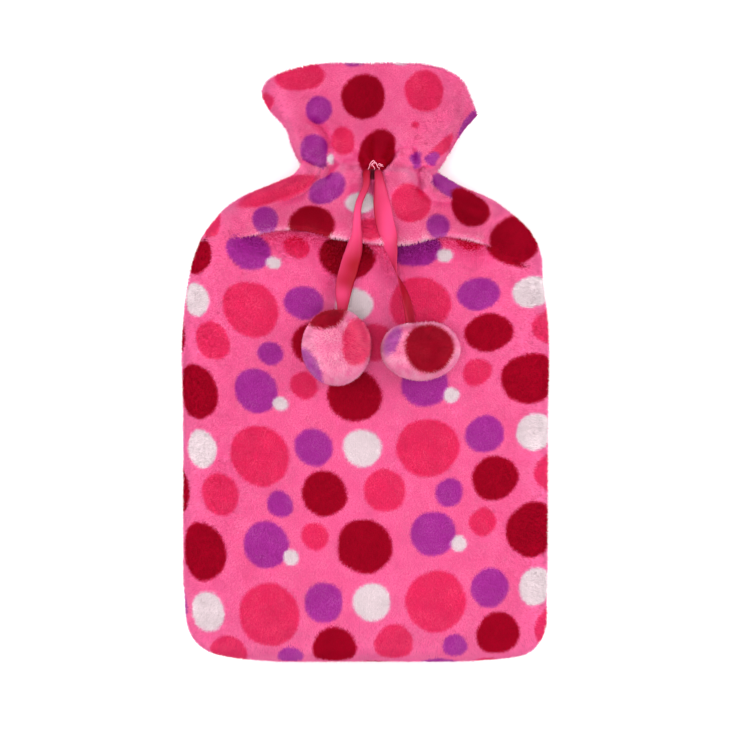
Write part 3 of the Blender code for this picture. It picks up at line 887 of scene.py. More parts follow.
# %% Dyes
DYES = {
    # name: colour, how much undyed fibre shows everywhere, and how much more of it shows as painted
    # sheen
    "pink": ("#F2609A", 0.07, 1.0),
    "raspberry": ("#E42961", 0.03, 0.15),
    "dark red": ("#A20323", 0.0, 0.03),
    "purple": ("#AC2B97", 0.04, 0.3),
    "white": ("#E4D2D7", 0.0, 1.0),
}
DYE_NAMES = list(DYES)
DYE_LIGHT = np.array([linear(colour) for colour, _, _ in DYES.values()])
DYE_OPEN = np.array([always for _, always, _ in DYES.values()])
DYE_PAINTED_SHEEN = np.array([more for _, _, more in DYES.values()])


def mixed_light(shares):
    """Linear light from shares of the dyes. Each dye takes away its part of the light, so the
    lights multiply: the logarithm of the mix is the sum of the shares times the logarithms."""
    return np.exp(shares @ np.log(DYE_LIGHT))


print("dyes:", DYE_NAMES)

# %% The repeat
REPEAT = (
    # middle px, py and width in pixels, dye
    (365.0, 545.5, 54.0, "dark red"),
    (315.0, 536.0, 27.0, "raspberry"),
    (266.0, 546.0, 45.0, "purple"),
    (291.0, 557.0, 16.0, "white"),
    (269.0, 613.0, 60.0, "raspberry"),
    (323.5, 601.0, 38.0, "purple"),
    (371.5, 601.0, 38.0, "white"),
    (325.0, 493.0, 44.0, "dark red"),
    (385.0, 489.0, 40.0, "raspberry"),
    (281.0, 505.0, 26.0, "purple"),
)
REPEAT_ACROSS = np.array([167.0, 13.0]) * PIXEL
REPEAT_UP = np.array([-8.5, 153.0]) * PIXEL
# Towards the flap the cloth is drawn together, and the dots stand closer up the front.
DRAWN_FROM = 390.0
DRAWN_SPAN = 145.0
DRAWN_BY = 14.0
DRAWN_POWER = 1.4
DRAWN_MOST = 1.4

# %% The dots above the hem
PLACED = (
    # middle px, py, width and height in pixels, turn in degrees, dye
    # a fold hides the upper left side of the first dot, so plain pink is drawn over it
    (327.5, 190.3, 38.0, 27.0, 30.0, "purple"),
    (316.5, 176.5, 26.0, 13.0, 38.0, "pink"),
    # on the ruffle
    (299.0, 77.0, 52.0, 30.0, 0.0, "raspberry"),
    (267.0, 100.0, 14.0, 16.0, 0.0, "raspberry"),
    (353.0, 60.0, 26.0, 16.0, 0.0, "purple"),
    (400.0, 60.0, 26.0, 14.0, 0.0, "white"),
    (363.0, 98.0, 43.0, 46.0, 0.0, "dark red"),
    (424.0, 92.0, 39.0, 42.0, 0.0, "raspberry"),
    (319.0, 111.0, 26.0, 28.0, 0.0, "purple"),
    (468.0, 122.0, 22.0, 16.0, 40.0, "purple"),
    (414.5, 126.5, 7.0, 6.0, 0.0, "raspberry"),
    (314.0, 151.0, 30.0, 30.0, 0.0, "purple"),
    (318.5, 160.0, 18.0, 19.0, 0.0, "purple"),
    (343.0, 142.5, 23.0, 27.0, 0.0, "raspberry"),
    (377.5, 153.5, 36.5, 46.0, -26.0, "dark red"),
    (443.5, 145.5, 18.0, 15.0, 35.0, "raspberry"),
    (431.0, 159.0, 12.0, 14.0, 0.0, "purple"),
    (414.5, 160.5, 12.0, 16.0, 0.0, "purple"),
    (331.3, 159.5, 6.5, 11.0, 0.0, "white"),
    # on the shoulders and the flap
    (276.5, 192.5, 77.0, 22.0, 18.0, "raspberry"),
    (360.5, 204.0, 32.0, 22.0, 0.0, "white"),
    (410.5, 205.0, 39.0, 39.0, 0.0, "raspberry"),
    (446.5, 188.5, 33.0, 25.0, -25.0, "purple"),
    (471.0, 209.0, 38.0, 38.0, 0.0, "dark red"),
    (266.0, 221.0, 25.0, 26.0, 0.0, "purple"),
    (312.5, 226.5, 46.0, 37.0, 0.0, "dark red"),
    (371.0, 231.0, 30.0, 22.0, 0.0, "raspberry"),
    (437.0, 227.5, 24.0, 23.0, 0.0, "purple"),
    (515.5, 241.0, 50.0, 47.0, 0.0, "dark red"),
    (215.0, 224.0, 14.0, 32.0, 25.0, "raspberry"),
)
# One dot lies across the flap's hem where the hem's line fades out, so the lower front has it too.
PLACED_BELOW = ((513.5, 242.5, 54.0, 48.0, 0.0, "dark red"),)
print(len(REPEAT), "dots in the repeat and", len(PLACED), "placed ones")

# %% Where a dot begins and ends
# How far the dots are pushed out of round, and by patches of what grain, both in mm.
DOT_UNEVEN = ((0.5, 9.0), (0.25, 2.2))
BLEED = 1.0
PLAIN = np.eye(len(DYES))[0]
# Cloth that is gathered more than this shows its dots no wider.
MOST_STRETCH = 2.0


def printed(shares, name, inside):
    """Shares of the dyes at each place after a dot is printed over it: the share of the dot's dye
    rises from 0 to 1 while `inside`, the way in from the dot's edge, goes from -BLEED to BLEED."""
    cover = step(-BLEED, BLEED, inside)[..., None]
    return shares * (1 - cover) + np.eye(len(DYES))[DYE_NAMES.index(name)] * cover


def inside_oval(x, y, middle, half, turn):
    """The way in from the edge of an oval of half sizes w and h: in its own turned directions the
    offset from its middle is (a w, b h), and the way in is 1 - |(a, b)| times the smaller half."""
    x, y = x - middle[0], y - middle[1]
    c, s = np.cos(turn), np.sin(turn)
    a, b = (x * c + y * s) / half[0], (y * c - x * s) / half[1]
    return (1 - np.hypot(a, b)) * min(half)


def uneven(u, v, seed):
    """The place on the cloth, pushed about by up to 0.75 mm, so that no dot is a true circle."""
    place = np.stack([u, v], axis=-1)
    for by, grain in DOT_UNEVEN:
        u = u + by * soft_noise(place, grain, seed)
        v = v + by * soft_noise(place, grain, seed + 2)
        seed += 1
    return u, v


def repeat_dye(u, v):
    """Shares of the dyes at each place of the repeat. The offset from each dot's middle is
    written in steps of the repeat, rounded off to the nearest copy, and measured in mm."""
    u, v = uneven(u, v, 11)
    steps = np.column_stack([REPEAT_ACROSS, REPEAT_UP])
    back = np.linalg.inv(steps)
    dyes = np.broadcast_to(PLAIN, (*u.shape, len(PLAIN)))
    for px, py, width, name in REPEAT:
        middle = from_photo([px, py])
        share = np.stack([u - middle[0], v - middle[1]], axis=-1) @ back.T
        off = (share - np.round(share)) @ steps.T
        dyes = printed(dyes, name, width * PIXEL / 2 - np.hypot(off[..., 0], off[..., 1]))
    return dyes


def drawn_together(y):
    """Height on the print that shows at height y: above row 390 the print is pushed down."""
    row = PHOTO_ORIGIN[1] - y / PIXEL
    share = np.clip((DRAWN_FROM - row) / DRAWN_SPAN, 0.0, DRAWN_MOST)
    return y + DRAWN_BY * share**DRAWN_POWER * PIXEL


# Slips of the print in mm round a middle. A slip is added to the place that is read off the
# straight print, so the dots near that middle show shifted the other way.
EVERYWHERE = 9999.0
SLIPS = (
    # u, v, reach along, reach up, slip along, slip up
    (-60.0, 8.0, 22.0, 14.0, 0.0, 2.2),
    (0.0, -143.0, 40.0, 16.0, 0.0, -1.6),
    (-18.0, 62.0, 26.0, 20.0, 0.0, -2.0),
    (0.0, 62.0, EVERYWHERE, 20.0, 0.0, 0.4),
    (48.0, 66.0, 9.0, 12.0, 0.0, -1.4),
    (-8.0, 36.0, 14.0, 10.0, -3.4, 0.0),
    (16.0, 38.0, 8.0, 12.0, -2.0, 0.0),
    (5.0, 64.0, 6.0, 10.0, -2.4, 0.0),
    (33.0, 44.0, 16.0, 11.0, 0.0, -2.4),
)
# Slips along a band of heights. Along it, each lies within a window: start, full, until, gone.
BAND_SLIPS = (
    # v, reach up, window, slip along, slip up
    (62.0, 20.0, (-90.0, -62.0, -12.0, 12.0), -2.4, 0.0),
    (62.0, 20.0, (20.0, 40.0, 900.0, 999.0), -1.8, 0.0),
    (66.0, 12.0, (15.0, 36.0, 900.0, 999.0), 0.0, -1.8),
    (-20.0, 16.0, (-90.0, -66.0, 58.0, 76.0), 0.0, 2.4),
    (-84.0, 8.0, (-66.0, -50.0, 56.0, 70.0), 0.0, 1.6),
    (0.0, EVERYWHERE, (78.0, 95.0, 900.0, 999.0), -1.3, 0.0),
    (0.0, EVERYWHERE, (101.0, 116.0, 900.0, 999.0), -4.5, 0.0),
)


def pulled_print(u, v):
    """The place on the straight print that shows at u, v on the front. The bottle pulls the cloth
    out of line: the print climbs towards the left edge and spreads towards the upper right. That
    is a smooth slip, a cubic of a and b in decimetres, and the smaller slips are added to it."""
    a, b = u / 100, v / 100
    along = 1.4 - 1.3 * a + 1.8 * b - 4.5 * a**2 - 1.9 * a * b + 0.5 * b**2
    along += 0.5 * a**3 - 3.7 * a**2 * b
    up = 1.0 + 2.2 * a + 4.5 * b - 5.7 * a**2 + 1.9 * a * b + 2.6 * b**2
    up += 1.4 * a**3 - 2.2 * a**2 * b
    for u0, v0, reach_along, reach_up, slip_along, slip_up in SLIPS:
        near = bell(u - u0, reach_along) * bell(v - v0, reach_up)
        along += slip_along * near
        up += slip_up * near
    for v0, reach_up, ends, slip_along, slip_up in BAND_SLIPS:
        near = bell(v - v0, reach_up) * window(*ends, u)
        along += slip_along * near
        up += slip_up * near
    return u + along, drawn_together(v + up)


def placed_on_cloth(chart, grid, places):
    """Turns charted ovals into ovals on the cloth. The nearest point of the grid, seen from
    above, gives the middle, and the cloth's spacing there stretches the width."""
    u, v = places
    dots = []
    stretch = np.gradient(u, axis=1) / np.maximum(np.gradient(grid[..., 0], axis=1), 1e-6)
    for px, py, width, height, turn, name in chart:
        x, y = from_photo([px, py])
        nearest = np.argmin(np.hypot(grid[..., 0] - x, grid[..., 1] - y))
        row, col = np.unravel_index(nearest, u.shape)
        wide = min(stretch[row, col], MOST_STRETCH)
        off = x - grid[row, col, 0], y - grid[row, col, 1]
        middle = u[row, col] + off[0] * wide, v[row, col] + off[1]
        half = width * PIXEL / 2 * wide, height * PIXEL / 2
        dots.append((middle, half, np.radians(turn), name))
    return dots


def placed_dye(u, v, dots, under=None):
    """Shares of the dyes at each place, for ovals of middle, half width, half height and turn,
    drawn one after another over plain pink or over another print."""
    u, v = uneven(u, v, 23)
    dyes = np.broadcast_to(PLAIN, (*u.shape, len(PLAIN))) if under is None else under
    for *oval, name in dots:
        dyes = printed(dyes, name, inside_oval(u, v, *oval))
    return dyes


# %% [markdown]
# ## The panels of cloth
#
# Each panel is one sheet of fleece: a knitted ground about 1.2 mm thick with its pile on the
# outside. One surface with a Solidify modifier would do for an even sheet. Here the hems are
# thicker than the rest and the slit is cut out, so the sheet is made as a closed skin, with an
# outer grid, an inner grid and a wall round the edges and the slit.

# %% Places on the cloth and closed sheets
GROUND = 1.2


def cloth_places(grid, rows_level):
    """The map of a panel in mm. Across, it is the length along the cloth from the middle column.
    Up, it is the length along the middle column where the rows are level, and y elsewhere."""
    steps = np.linalg.norm(np.diff(grid, axis=1), axis=-1)
    run = np.concatenate([np.zeros((len(grid), 1)), np.cumsum(steps, axis=1)], axis=1)
    middle = grid.shape[1] // 2
    u = run - run[:, middle : middle + 1] + grid[:, middle : middle + 1, 0]
    if not rows_level:
        return u, grid[..., 1].copy()
    length = run_along(grid[:, middle])
    at_zero = np.interp(0.0, grid[:, middle, 1], length)
    return u, np.broadcast_to((length - at_zero)[:, None], u.shape).copy()


def sheet_faces(present):
    """Faces of a closed sheet from the mask of its cells that are cloth: outer cells, inner
    cells turned over, and a wall wherever a cloth cell borders on none."""
    rows, cols = present.shape[0] + 1, present.shape[1] + 1
    index = np.arange(rows * cols).reshape(rows, cols)
    corners = index[:-1, :-1], index[:-1, 1:], index[1:, 1:], index[1:, :-1]
    quads = np.stack(corners, axis=-1)[present]
    framed = np.pad(present, 1)
    walls = []
    for (dr, dc), a, b in (((-1, 0), 0, 1), ((0, 1), 1, 2), ((1, 0), 2, 3), ((0, -1), 3, 0)):
        neighbour = framed[1 + dr : framed.shape[0] - 1 + dr, 1 + dc : framed.shape[1] - 1 + dc]
        bare = present & ~neighbour
        first, second = corners[a][bare], corners[b][bare]
        walls.append(np.stack([first, first + rows * cols, second + rows * cols, second], axis=-1))
    return np.concatenate([quads, quads[:, ::-1] + rows * cols, *walls]), len(quads)


def kept_above(grid, seam, facing):
    """The grid, held GAP / 2 off the seam's level so that the panels never touch."""
    limit = seam + facing * GAP / 2
    outermost = np.maximum if facing > 0 else np.minimum
    grid[..., 2] = outermost(grid[..., 2], limit)
    return grid


def whole(grid):
    """The mask of a panel from which no cell is cut."""
    return np.ones((grid.shape[0] - 1, grid.shape[1] - 1), dtype=bool)


# %% [markdown]
# ### Fleece
#
# Coral fleece is a knitted ground of polyester with a cut pile of very fine, soft fibres. It has
# no gloss, but along a hem and on a ball, light caught in the fibre tips gives a pale frosted
# bloom. A shader's sheen gives it faintly on the balls, and the rest is painted sheen: pale undyed
# fibre colour mixed in where the pile is made, partly real undyed fibre and partly the light. The
# ground itself is only seen between the fibres, in their shade, and its colour is darkened by a
# painted shade. Its wrong side, inside the ruffle, is a bare knit of fine ribs with the print just
# showing through. Real knit ribs are about 0.5 mm wide and are drawn at 1.2 mm.

# %% Fleece materials
BLOOM = "#FFD6E4"
BLOTCH_TONES = 0.90, 1.06
RIB = 1.2
RIB_SHADE = 0.25


def fleece_pile(name, bloom, blotch):
    """Fibres: the colour of their print attribute, which holds the print with painted shade,
    painted sheen and painted slope light laid in, a little lighter and darker in soft patches whose
    size is `blotch` mm, with a bloom."""
    material, tree, shader = new_material(name)
    # The print attribute holds the print with its painted shade, painted sheen and painted slope
    # light.
    dye = add_node(tree, "ShaderNodeAttribute", attribute_name="print", attribute_type="GEOMETRY")
    place = add_node(tree, "ShaderNodeTexCoord")
    patches = add_node(
        tree,
        "ShaderNodeTexNoise",
        {"Vector": place.outputs["Object"], "Scale": 1 / (blotch * MM), "Detail": 3.0},
    )
    low, high = BLOTCH_TONES
    tone = add_node(
        tree,
        "ShaderNodeMapRange",
        {"Value": patches.outputs["Fac"], 1: 0.3, 2: 0.7, 3: low, 4: high},
    )
    colour = add_node(
        tree,
        "ShaderNodeMix",
        {0: 1.0, 6: dye.outputs["Color"], 7: tone.outputs[0]},
        data_type="RGBA",
        blend_type="MULTIPLY",
    )
    stand = add_node(tree, "ShaderNodeAttribute", attribute_name="stand", attribute_type="GEOMETRY")
    tree.links.new(stand.outputs["Vector"], shader.inputs["Normal"])
    tree.links.new(colour.outputs[2], shader.inputs["Base Color"])
    shader.inputs["Roughness"].default_value = 0.9
    shader.inputs["Specular IOR Level"].default_value = 0.02
    shader.inputs["Sheen Weight"].default_value = bloom
    shader.inputs["Sheen Roughness"].default_value = 0.55
    shader.inputs["Sheen Tint"].default_value = (*linear(BLOOM), 1.0)
    return material


def fleece_ground(name, ribs):
    """The knit: the colour of its points, darkened by painted shade on its outer side, and ribs
    that run up the cloth on its bare side.
    """
    material, tree, shader = new_material(name)
    dye = add_node(tree, "ShaderNodeAttribute", attribute_name="print", attribute_type="GEOMETRY")
    place = add_node(tree, "ShaderNodeUVMap", uv_map="cloth_mm")
    rib = add_node(
        tree,
        "ShaderNodeTexWave",
        {
            "Vector": place.outputs[0],
            "Scale": WAVE_PITCH / RIB,
            "Distortion": 1.5,
            "Detail Scale": 0.5,
        },
        bands_direction="X",
    )
    shade = add_node(
        tree,
        "ShaderNodeMapRange",
        {"Value": rib.outputs["Fac"], 3: 1.0 - RIB_SHADE * ribs, 4: 1.0},
    )
    colour = add_node(
        tree,
        "ShaderNodeMix",
        {0: 1.0, 6: dye.outputs["Color"], 7: shade.outputs[0]},
        data_type="RGBA",
        blend_type="MULTIPLY",
    )
    bump = add_node(
        tree,
        "ShaderNodeBump",
        {"Height": rib.outputs["Fac"], "Strength": 0.4 * ribs, "Distance": 0.0003},
    )
    tree.links.new(colour.outputs[2], shader.inputs["Base Color"])
    tree.links.new(bump.outputs[0], shader.inputs["Normal"])
    shader.inputs["Roughness"].default_value = 0.95
    shader.inputs["Specular IOR Level"].default_value = 0.1
    return material


pile_fleece = fleece_pile("coral_fleece_pile", 0.0, 14.0)
pile_ball = fleece_pile("coral_fleece_pile_ball", 0.02, 9.0)
knit_outside = fleece_ground("fleece_ground_outside", 0.2)
knit_inside = fleece_ground("fleece_knit_wrong_side", 1.0)
print("knit ribs every", RIB, "mm")

# %% [markdown]
# ### Pile, fibre by fibre
#
# A hair system could grow the pile, but its strands are lost when the model is exported. So a
# fibre is one thin upright triangle, and the pile of a panel is a single mesh of many thousands
# of them. Roots are spread evenly over the sheet by area. Each fibre leans the way the pile is
# brushed, more or less so from patch to patch, and it is drawn a little towards the middle of its
# own tuft, which is what makes fleece look tufted and not like velvet. It takes the print's colour
# at its root, so a dot's edge is ragged just as the real one is. Its root is painted darker than
# its tip, a painted shade for the shade of its neighbours, and the painted sheen and shade of the
# cloth go into its colour as well.

# %% Light on the pile and its baked map
# Fibres are lit partly by their own direction and partly by the cloth's, as a dense pile is.
SOFT_SHADE = 0.75
BAKED_SPOT = 0.3


def baked_at_root(mesh, u, v):
    """The map for a baked picture: each fibre gets a small triangle at its root's own place."""
    low = min(u.min(), v.min()) - 1.0
    span = max(u.max(), v.max()) + 1.0 - low
    middle = (np.stack([u, v], axis=-1) - low) / span
    corner = np.array([[-1.0, -1.0], [1.0, -1.0], [0.0, 1.0]]) * BAKED_SPOT / span
    give_map(mesh, "OFBake", (middle[:, None] + corner).reshape(-1, 2))


# %% Tufts and roots
TUFT = 1.8
TUFT_SHIFT = 0.38


def tuft_pull(u, v, seed):
    """Offset from each place to the middle of its tuft. Tufts stand on a lattice, each shifted
    by two scrambled numbers, and a place belongs to the nearest one."""
    place = np.stack([u, v], axis=-1) / TUFT
    cell = np.floor(place)
    best = np.full(u.shape, 9.0)
    pull = np.zeros(place.shape)
    for corner in np.ndindex(3, 3):
        spot = cell + corner - 1
        shift = np.stack([soft_noise(spot, 1.0, seed), soft_noise(spot, 1.0, seed + 1)], axis=-1)
        off = spot + 0.5 + TUFT_SHIFT * shift - place
        far = np.linalg.norm(off, axis=-1)
        nearer = far < best
        best = np.where(nearer, far, best)
        pull = np.where(nearer[..., None], off, pull)
    return pull * TUFT


def spread_roots(grid, weight, count, rng):
    """Roots spread evenly by area over the cells of a grid. A cell of weight 0 gets none. The
    result is a reader, which mixes a grid's values at the four corners round each root, and the
    whole area."""
    area = cell_areas(grid) * weight
    total = np.cumsum(area.ravel())
    at = (np.arange(count) + rng.random(count)) / count * total[-1]
    cell = np.searchsorted(total, at)
    row, col = np.divmod(cell, area.shape[1])
    s, t = rng.random(count), rng.random(count)
    mixes = (1 - t) * (1 - s), (1 - t) * s, t * (1 - s), t * s
    cells = (row, col), (row, col + 1), (row + 1, col), (row + 1, col + 1)

    def read(values):
        shape = (-1,) + (1,) * (values.ndim - 2)
        return sum(mix.reshape(shape) * values[cell] for mix, cell in zip(mixes, cells))

    return read, total[-1]


# %% Fibres of a panel
FIBRE_WIDE = 0.5
ROOT_DEPTH = 0.15
# How much the lean drifts, the grain of its patches in mm, and the share of the finer ones.
DRIFT_LEAN = 0.14
DRIFT_GRAIN, FINE_GRAIN = 17.0, 6.0
FINE_DRIFT = 0.6
TUFT_LEAN = 0.03
LOOSE = 0.24
# How uneven the fibres are cut: by chance, and by patches of what size in mm.
CUT_CHANCE = 0.14
CUT_PATCHES = ((0.12, 1.9), (0.04, 4.0))
TURN_CHANCE = 0.6
# How far in mm a fibre's dye strays from the print.
STRAY = 0.3
# Painted shade: how much darker a fibre's root is than its tip, and how much deep painted shade
# darkens it.
ROOT_SHADE = 0.86
DEEP_SHADE = 0.25
TONE_CHANCE = 0.05
# Painted light: how much lighter the fibres on a slope are made.
PAINTED_SLOPE_LIGHT = 0.16
# The colour of undyed fibre, also mixed in as painted sheen.
UNDYED = "#FFD3E2"


def pile_mesh(
    name,
    grid,
    places,
    weight,
    dye_at,
    count,
    length,
    lay,
    lean,
    seed,
    frost=None,
    floor=None,
    loose=LOOSE,
):
    """The pile of one grid as a mesh of triangles. A fibre's direction is the cloth's normal
    plus a lean in the cloth: the brushed lay, a slow drift, the tuft's pull and a little chance.
    dye_at gives the dyes' shares at the roots, from the reader of grids and a small stray. The grid
    of painted sheen and shade mixes pale undyed fibre into the colour where it is over 0, partly
    real undyed fibre and partly painted sheen. Where it is under 0 it is painted shade: the colour
    is raised to the power 1 + shade and darkened, deeper as light that has met the dye more than
    once. On a slope the fibres' colour is made a little lighter, a painted light for the sides.
    The two root corners of each fibre are painted darker than its tip."""
    rng = np.random.default_rng(seed)
    u, v = places
    normal = vertex_normals(grid)
    right = unit(np.gradient(grid, axis=1))
    upward = unit(np.cross(normal, right))
    read, area = spread_roots(grid, weight, count, rng)
    root, n = read(grid), unit(read(normal))
    e, f = unit(read(right)), unit(read(upward))
    ru, rv = read(u), read(v)
    spot = np.stack([ru, rv], axis=-1)
    drift = np.stack([soft_noise(spot, DRIFT_GRAIN, seed + s) for s in (1, 2)], axis=-1)
    fine = np.stack([soft_noise(spot, FINE_GRAIN, seed + s) for s in (3, 4)], axis=-1)
    drift = (drift + FINE_DRIFT * fine) * np.abs(n[:, 2:])
    chance = rng.normal(size=(count, 2))
    slant = np.array(lay) * lean + DRIFT_LEAN * drift + loose * chance
    slant += TUFT_LEAN * tuft_pull(ru, rv, seed + 5)
    way = unit(n + slant[:, :1] * e + slant[:, 1:] * f)
    uneven_cut = CUT_CHANCE * rng.normal(size=count)
    for s, (by, grain) in enumerate(CUT_PATCHES):
        uneven_cut += by * soft_noise(spot, grain, seed + 7 + s)
    reach = length * (1 + uneven_cut)
    if floor is not None:
        low = np.clip((floor + length - root[:, 2]) / length, 0, 1)[:, None]
        way = unit(way + low * np.array([0.0, 0.0, 1.0]) * np.maximum(0, -way[:, 2:]))
    turn = rng.normal(scale=TURN_CHANCE, size=count)[:, None]
    across = unit(np.cross(way, n) + 1e-6)
    across = across * np.cos(turn) + np.cross(way, across) * np.sin(turn)
    half = FIBRE_WIDE / 2 * across
    foot = root - ROOT_DEPTH * n
    tip = root + way * reach[:, None]
    points = np.stack([foot - half, foot + half, tip], axis=1)
    if floor is not None:
        points[..., 2] = np.maximum(points[..., 2], floor)
    facing = np.cross(points[:, 1] - points[:, 0], points[:, 2] - points[:, 0])
    wrong = (facing * n).sum(axis=1) < 0
    points[wrong] = points[wrong][:, [1, 0, 2]]
    dyes = dye_at(read, STRAY * (chance + rng.normal(size=(count, 2))))
    shown, always, more = mixed_light(dyes), dyes @ DYE_OPEN, dyes @ DYE_PAINTED_SHEEN
    # Painted light: fibres on a slope get a lighter colour.
    side_on = step(0.02, 0.25, 1 - np.abs(n[:, 2]))
    tone = (1 + TONE_CHANCE * rng.normal(size=count)) * (1 + PAINTED_SLOPE_LIGHT * side_on)
    # Painted sheen and shade: pale undyed fibre above 0, deeper and darker colour below 0.
    frosted = np.zeros(count) if frost is None else read(frost)
    shade = np.clip(-frosted, 0, 1)[:, None]
    shown = shown ** (1 + shade) * (1 - DEEP_SHADE * shade)
    speckle = rng.uniform(0.4, 1.1, count) * (1 + 0.6 * soft_noise(spot, 5.0, seed + 9))
    bare = np.clip((always + more * frosted) * speckle, 0, 1)[:, None]
    shown = shown + (linear(UNDYED) - shown) * bare
    # Painted shade: the root corners of each fibre are darker than its tip.
    corners = np.stack([shown * ROOT_SHADE, shown * ROOT_SHADE, shown], axis=1)
    colours = np.clip(corners * tone[:, None, None], 0, 1)
    mesh = new_mesh(name, points.reshape(-1, 3), np.arange(count * 3).reshape(-1, 3))
    # The attribute named print carries the print with this painted light and shade laid in.
    give_colours(mesh, "print", colours.reshape(-1, 3))
    baked_at_root(mesh, ru, rv)
    soft = unit(np.repeat(n, 3, axis=0) * SOFT_SHADE + np.repeat(way, 3, axis=0) * (1 - SOFT_SHADE))
    give_vectors(mesh, "stand", soft)
    mesh.polygons.foreach_set("use_smooth", np.ones(count, dtype=bool))
    mesh.normals_split_custom_set_from_vertices(soft.tolist())
    print(name, count, "fibres,", round(count / area, 2), "to the square millimetre")
    return mesh


# %% The dye at a panel's roots
def dyed(places, dye):
    """Asks the print for its dye at each root, strayed a little so that a dot's edge is ragged."""

    def dye_at(read, stray):
        return dye(read(places[0]) + stray[:, 0], read(places[1]) + stray[:, 1])

    return dye_at


# %% [markdown]
# ### Cutting out the three panels
#
# The lower front runs from the bottom seam to its own hem, which lies hidden under the flap. The
# upper front starts at the flap's hem, passes the neck and ends at the ruffle's free edge. The
# back is one piece, and is flat where the filled cover rests on it. Near a free edge both faces of
# the cloth draw together in a half circle, as a turned-in hem does.

# %% Rows and rounded hems
HEM_ROUND = 1.6
HEM_PROUD = 2.2
HEM_THICK = 2.6
HEM_WINDOW = (-0.62, -0.34, 0.42, 0.55)
FLAT_DROP = 1.0
ROUND_ROWS = 6
END_ROWS = 26


def hem_shows(across):
    """1 where the flap's hem stands up thick and soft, and 0 towards both side seams, where it
    is pulled flat and its line fades away."""
    return window(*HEM_WINDOW, across)


def level_rows(last, pitch):
    """Heights y of rows from the bottom seam to the line `last`, close where the end rounds off."""
    turn = BOTTOM + END_LENGTH
    end = turn - END_LENGTH * np.cos(np.linspace(0, np.pi / 2, END_ROWS))
    return np.concatenate([end[:-1], np.linspace(turn, last, round((last - turn) / pitch) + 1)])


def edge_rows():
    """Distances from a free edge of the rows that make its half circle: r (1 - cos t)."""
    return HEM_ROUND * (1 - np.cos(np.linspace(0, np.pi / 2, ROUND_ROWS)))


def two_faces(full, thickness, from_edge, facing):
    """Outer and inner faces of a sheet. At a distance d under r from a free edge both draw in
    by half the thickness times 1 - sqrt(1 - (1 - d / r)^2)."""
    normal = vertex_normals(full) * facing
    d = np.clip(from_edge / HEM_ROUND, 0.006, 1.0)
    drop = thickness / 2 * (1 - np.sqrt(1 - (1 - d) ** 2))
    outer = full - normal * drop[..., None]
    return outer, full - normal * (thickness - drop)[..., None]


# %% From two faces to a piece
# How much of the print shows through to the wrong side, how much plain pink, and how much white.
SHOW_THROUGH = 0.35
WRONG_SIDE_PINK = 0.45
WRONG_SIDE_PALE = 0.12


def panel(name, outer, inner, places, present, facing, dye):
    """The piece of one panel, from its two faces, its map and the mask of its cells."""
    faces, outside = sheet_faces(present)
    if facing < 0:
        faces = faces[:, ::-1]
    points = np.concatenate([outer.reshape(-1, 3), inner.reshape(-1, 3)])
    used = np.unique(faces)
    renumber = np.zeros(len(points), dtype=int)
    renumber[used] = np.arange(len(used))
    mesh = new_mesh(name, points[used], renumber[faces])
    shown = mixed_light(dye(*places)).reshape(-1, 3)
    faint = shown * SHOW_THROUGH + DYE_LIGHT[0] * WRONG_SIDE_PINK + WRONG_SIDE_PALE
    # Painted shade: the outer face is darkened as under the pile.
    give_colours(mesh, "print", np.concatenate([shown * ROOT_SHADE, faint])[used])
    flat = np.stack(places, axis=-1).reshape(-1, 2)
    give_map(mesh, "cloth_mm", np.concatenate([flat, flat])[used])
    mesh.shade_smooth()
    obj = piece(name, mesh, knit_outside, knit_inside)
    slots = np.zeros(len(faces), dtype=np.int32)
    slots[outside : 2 * outside] = 1
    mesh.polygons.foreach_set("material_index", slots)
    return obj


def sheet_area(grid, weight):
    return (cell_areas(grid) * weight).sum()


# %% The lower front
LOWER_ROWS_EVERY = 1.9
LOWER_COLUMNS = 181
# How far past the flap's hem the lower front starts to sink and lies right down, in mm: well below
# a hem that stands up, and just under a flat one.
SINKS_PROUD = (-22.0, -4.0)
SINKS_FLAT = (1.5, 4.5)
# Painted shadow in the troughs beside the tails and under the flap's hem, and how far in mm the
# hem's reaches.
TROUGH_SHADE = 0.7
HEM_SHADE, HEM_SHADE_REACH = 1.2, 8.0


def lower_front():
    """Outer and inner face, the distance past the flap's hem, and its painted shade: a painted
    shadow under the hem and beside the tails.
    """
    rows = level_rows(LOWER_HEM, LOWER_ROWS_EVERY)
    across = np.broadcast_to(np.linspace(-1, 1, LOWER_COLUMNS), (len(rows), LOWER_COLUMNS))
    y = np.broadcast_to(rows[:, None], across.shape)
    grid = folded(bag_surface(across, y, True), across, FRONT_FOLDS, 1.0)
    shows = hem_shows(across)
    past = y - flap_hem(across)
    starts, ends = (flat + (proud - flat) * shows for flat, proud in zip(SINKS_FLAT, SINKS_PROUD))
    under = step(starts, ends, past)
    drop = FLAT_DROP + (LAP_DROP - FLAT_DROP) * shows
    sunk = crease_height(grid[..., 0], grid[..., 1], TROUGHS)
    full = grid + vertex_normals(grid) * (sunk - drop * under)[..., None]
    outer, inner = two_faces(full, GROUND, LOWER_HEM - y, 1)
    seam = seam_height(y)
    painted_shade = HEM_SHADE * shows * bell(np.minimum(past, 0), HEM_SHADE_REACH) - TROUGH_SHADE * sunk
    return kept_above(outer, seam, 1), kept_above(inner, seam, 1), past, painted_shade


lower_outer, lower_inner, lower_past_hem, lower_painted_shade = lower_front()
lower_places = cloth_places(lower_outer, True)
lower_dots = placed_on_cloth(PLACED_BELOW, lower_outer, lower_places)


def lower_dye(u, v):
    return placed_dye(u, v, lower_dots, repeat_dye(*pulled_print(u, v)))


lower_cells = whole(lower_outer)
lower_sheet = panel(
    "fleece_lower_front", lower_outer, lower_inner, lower_places, lower_cells, 1, lower_dye
)
print("lower front, cm2:", round(sheet_area(lower_outer, lower_cells) / 100))

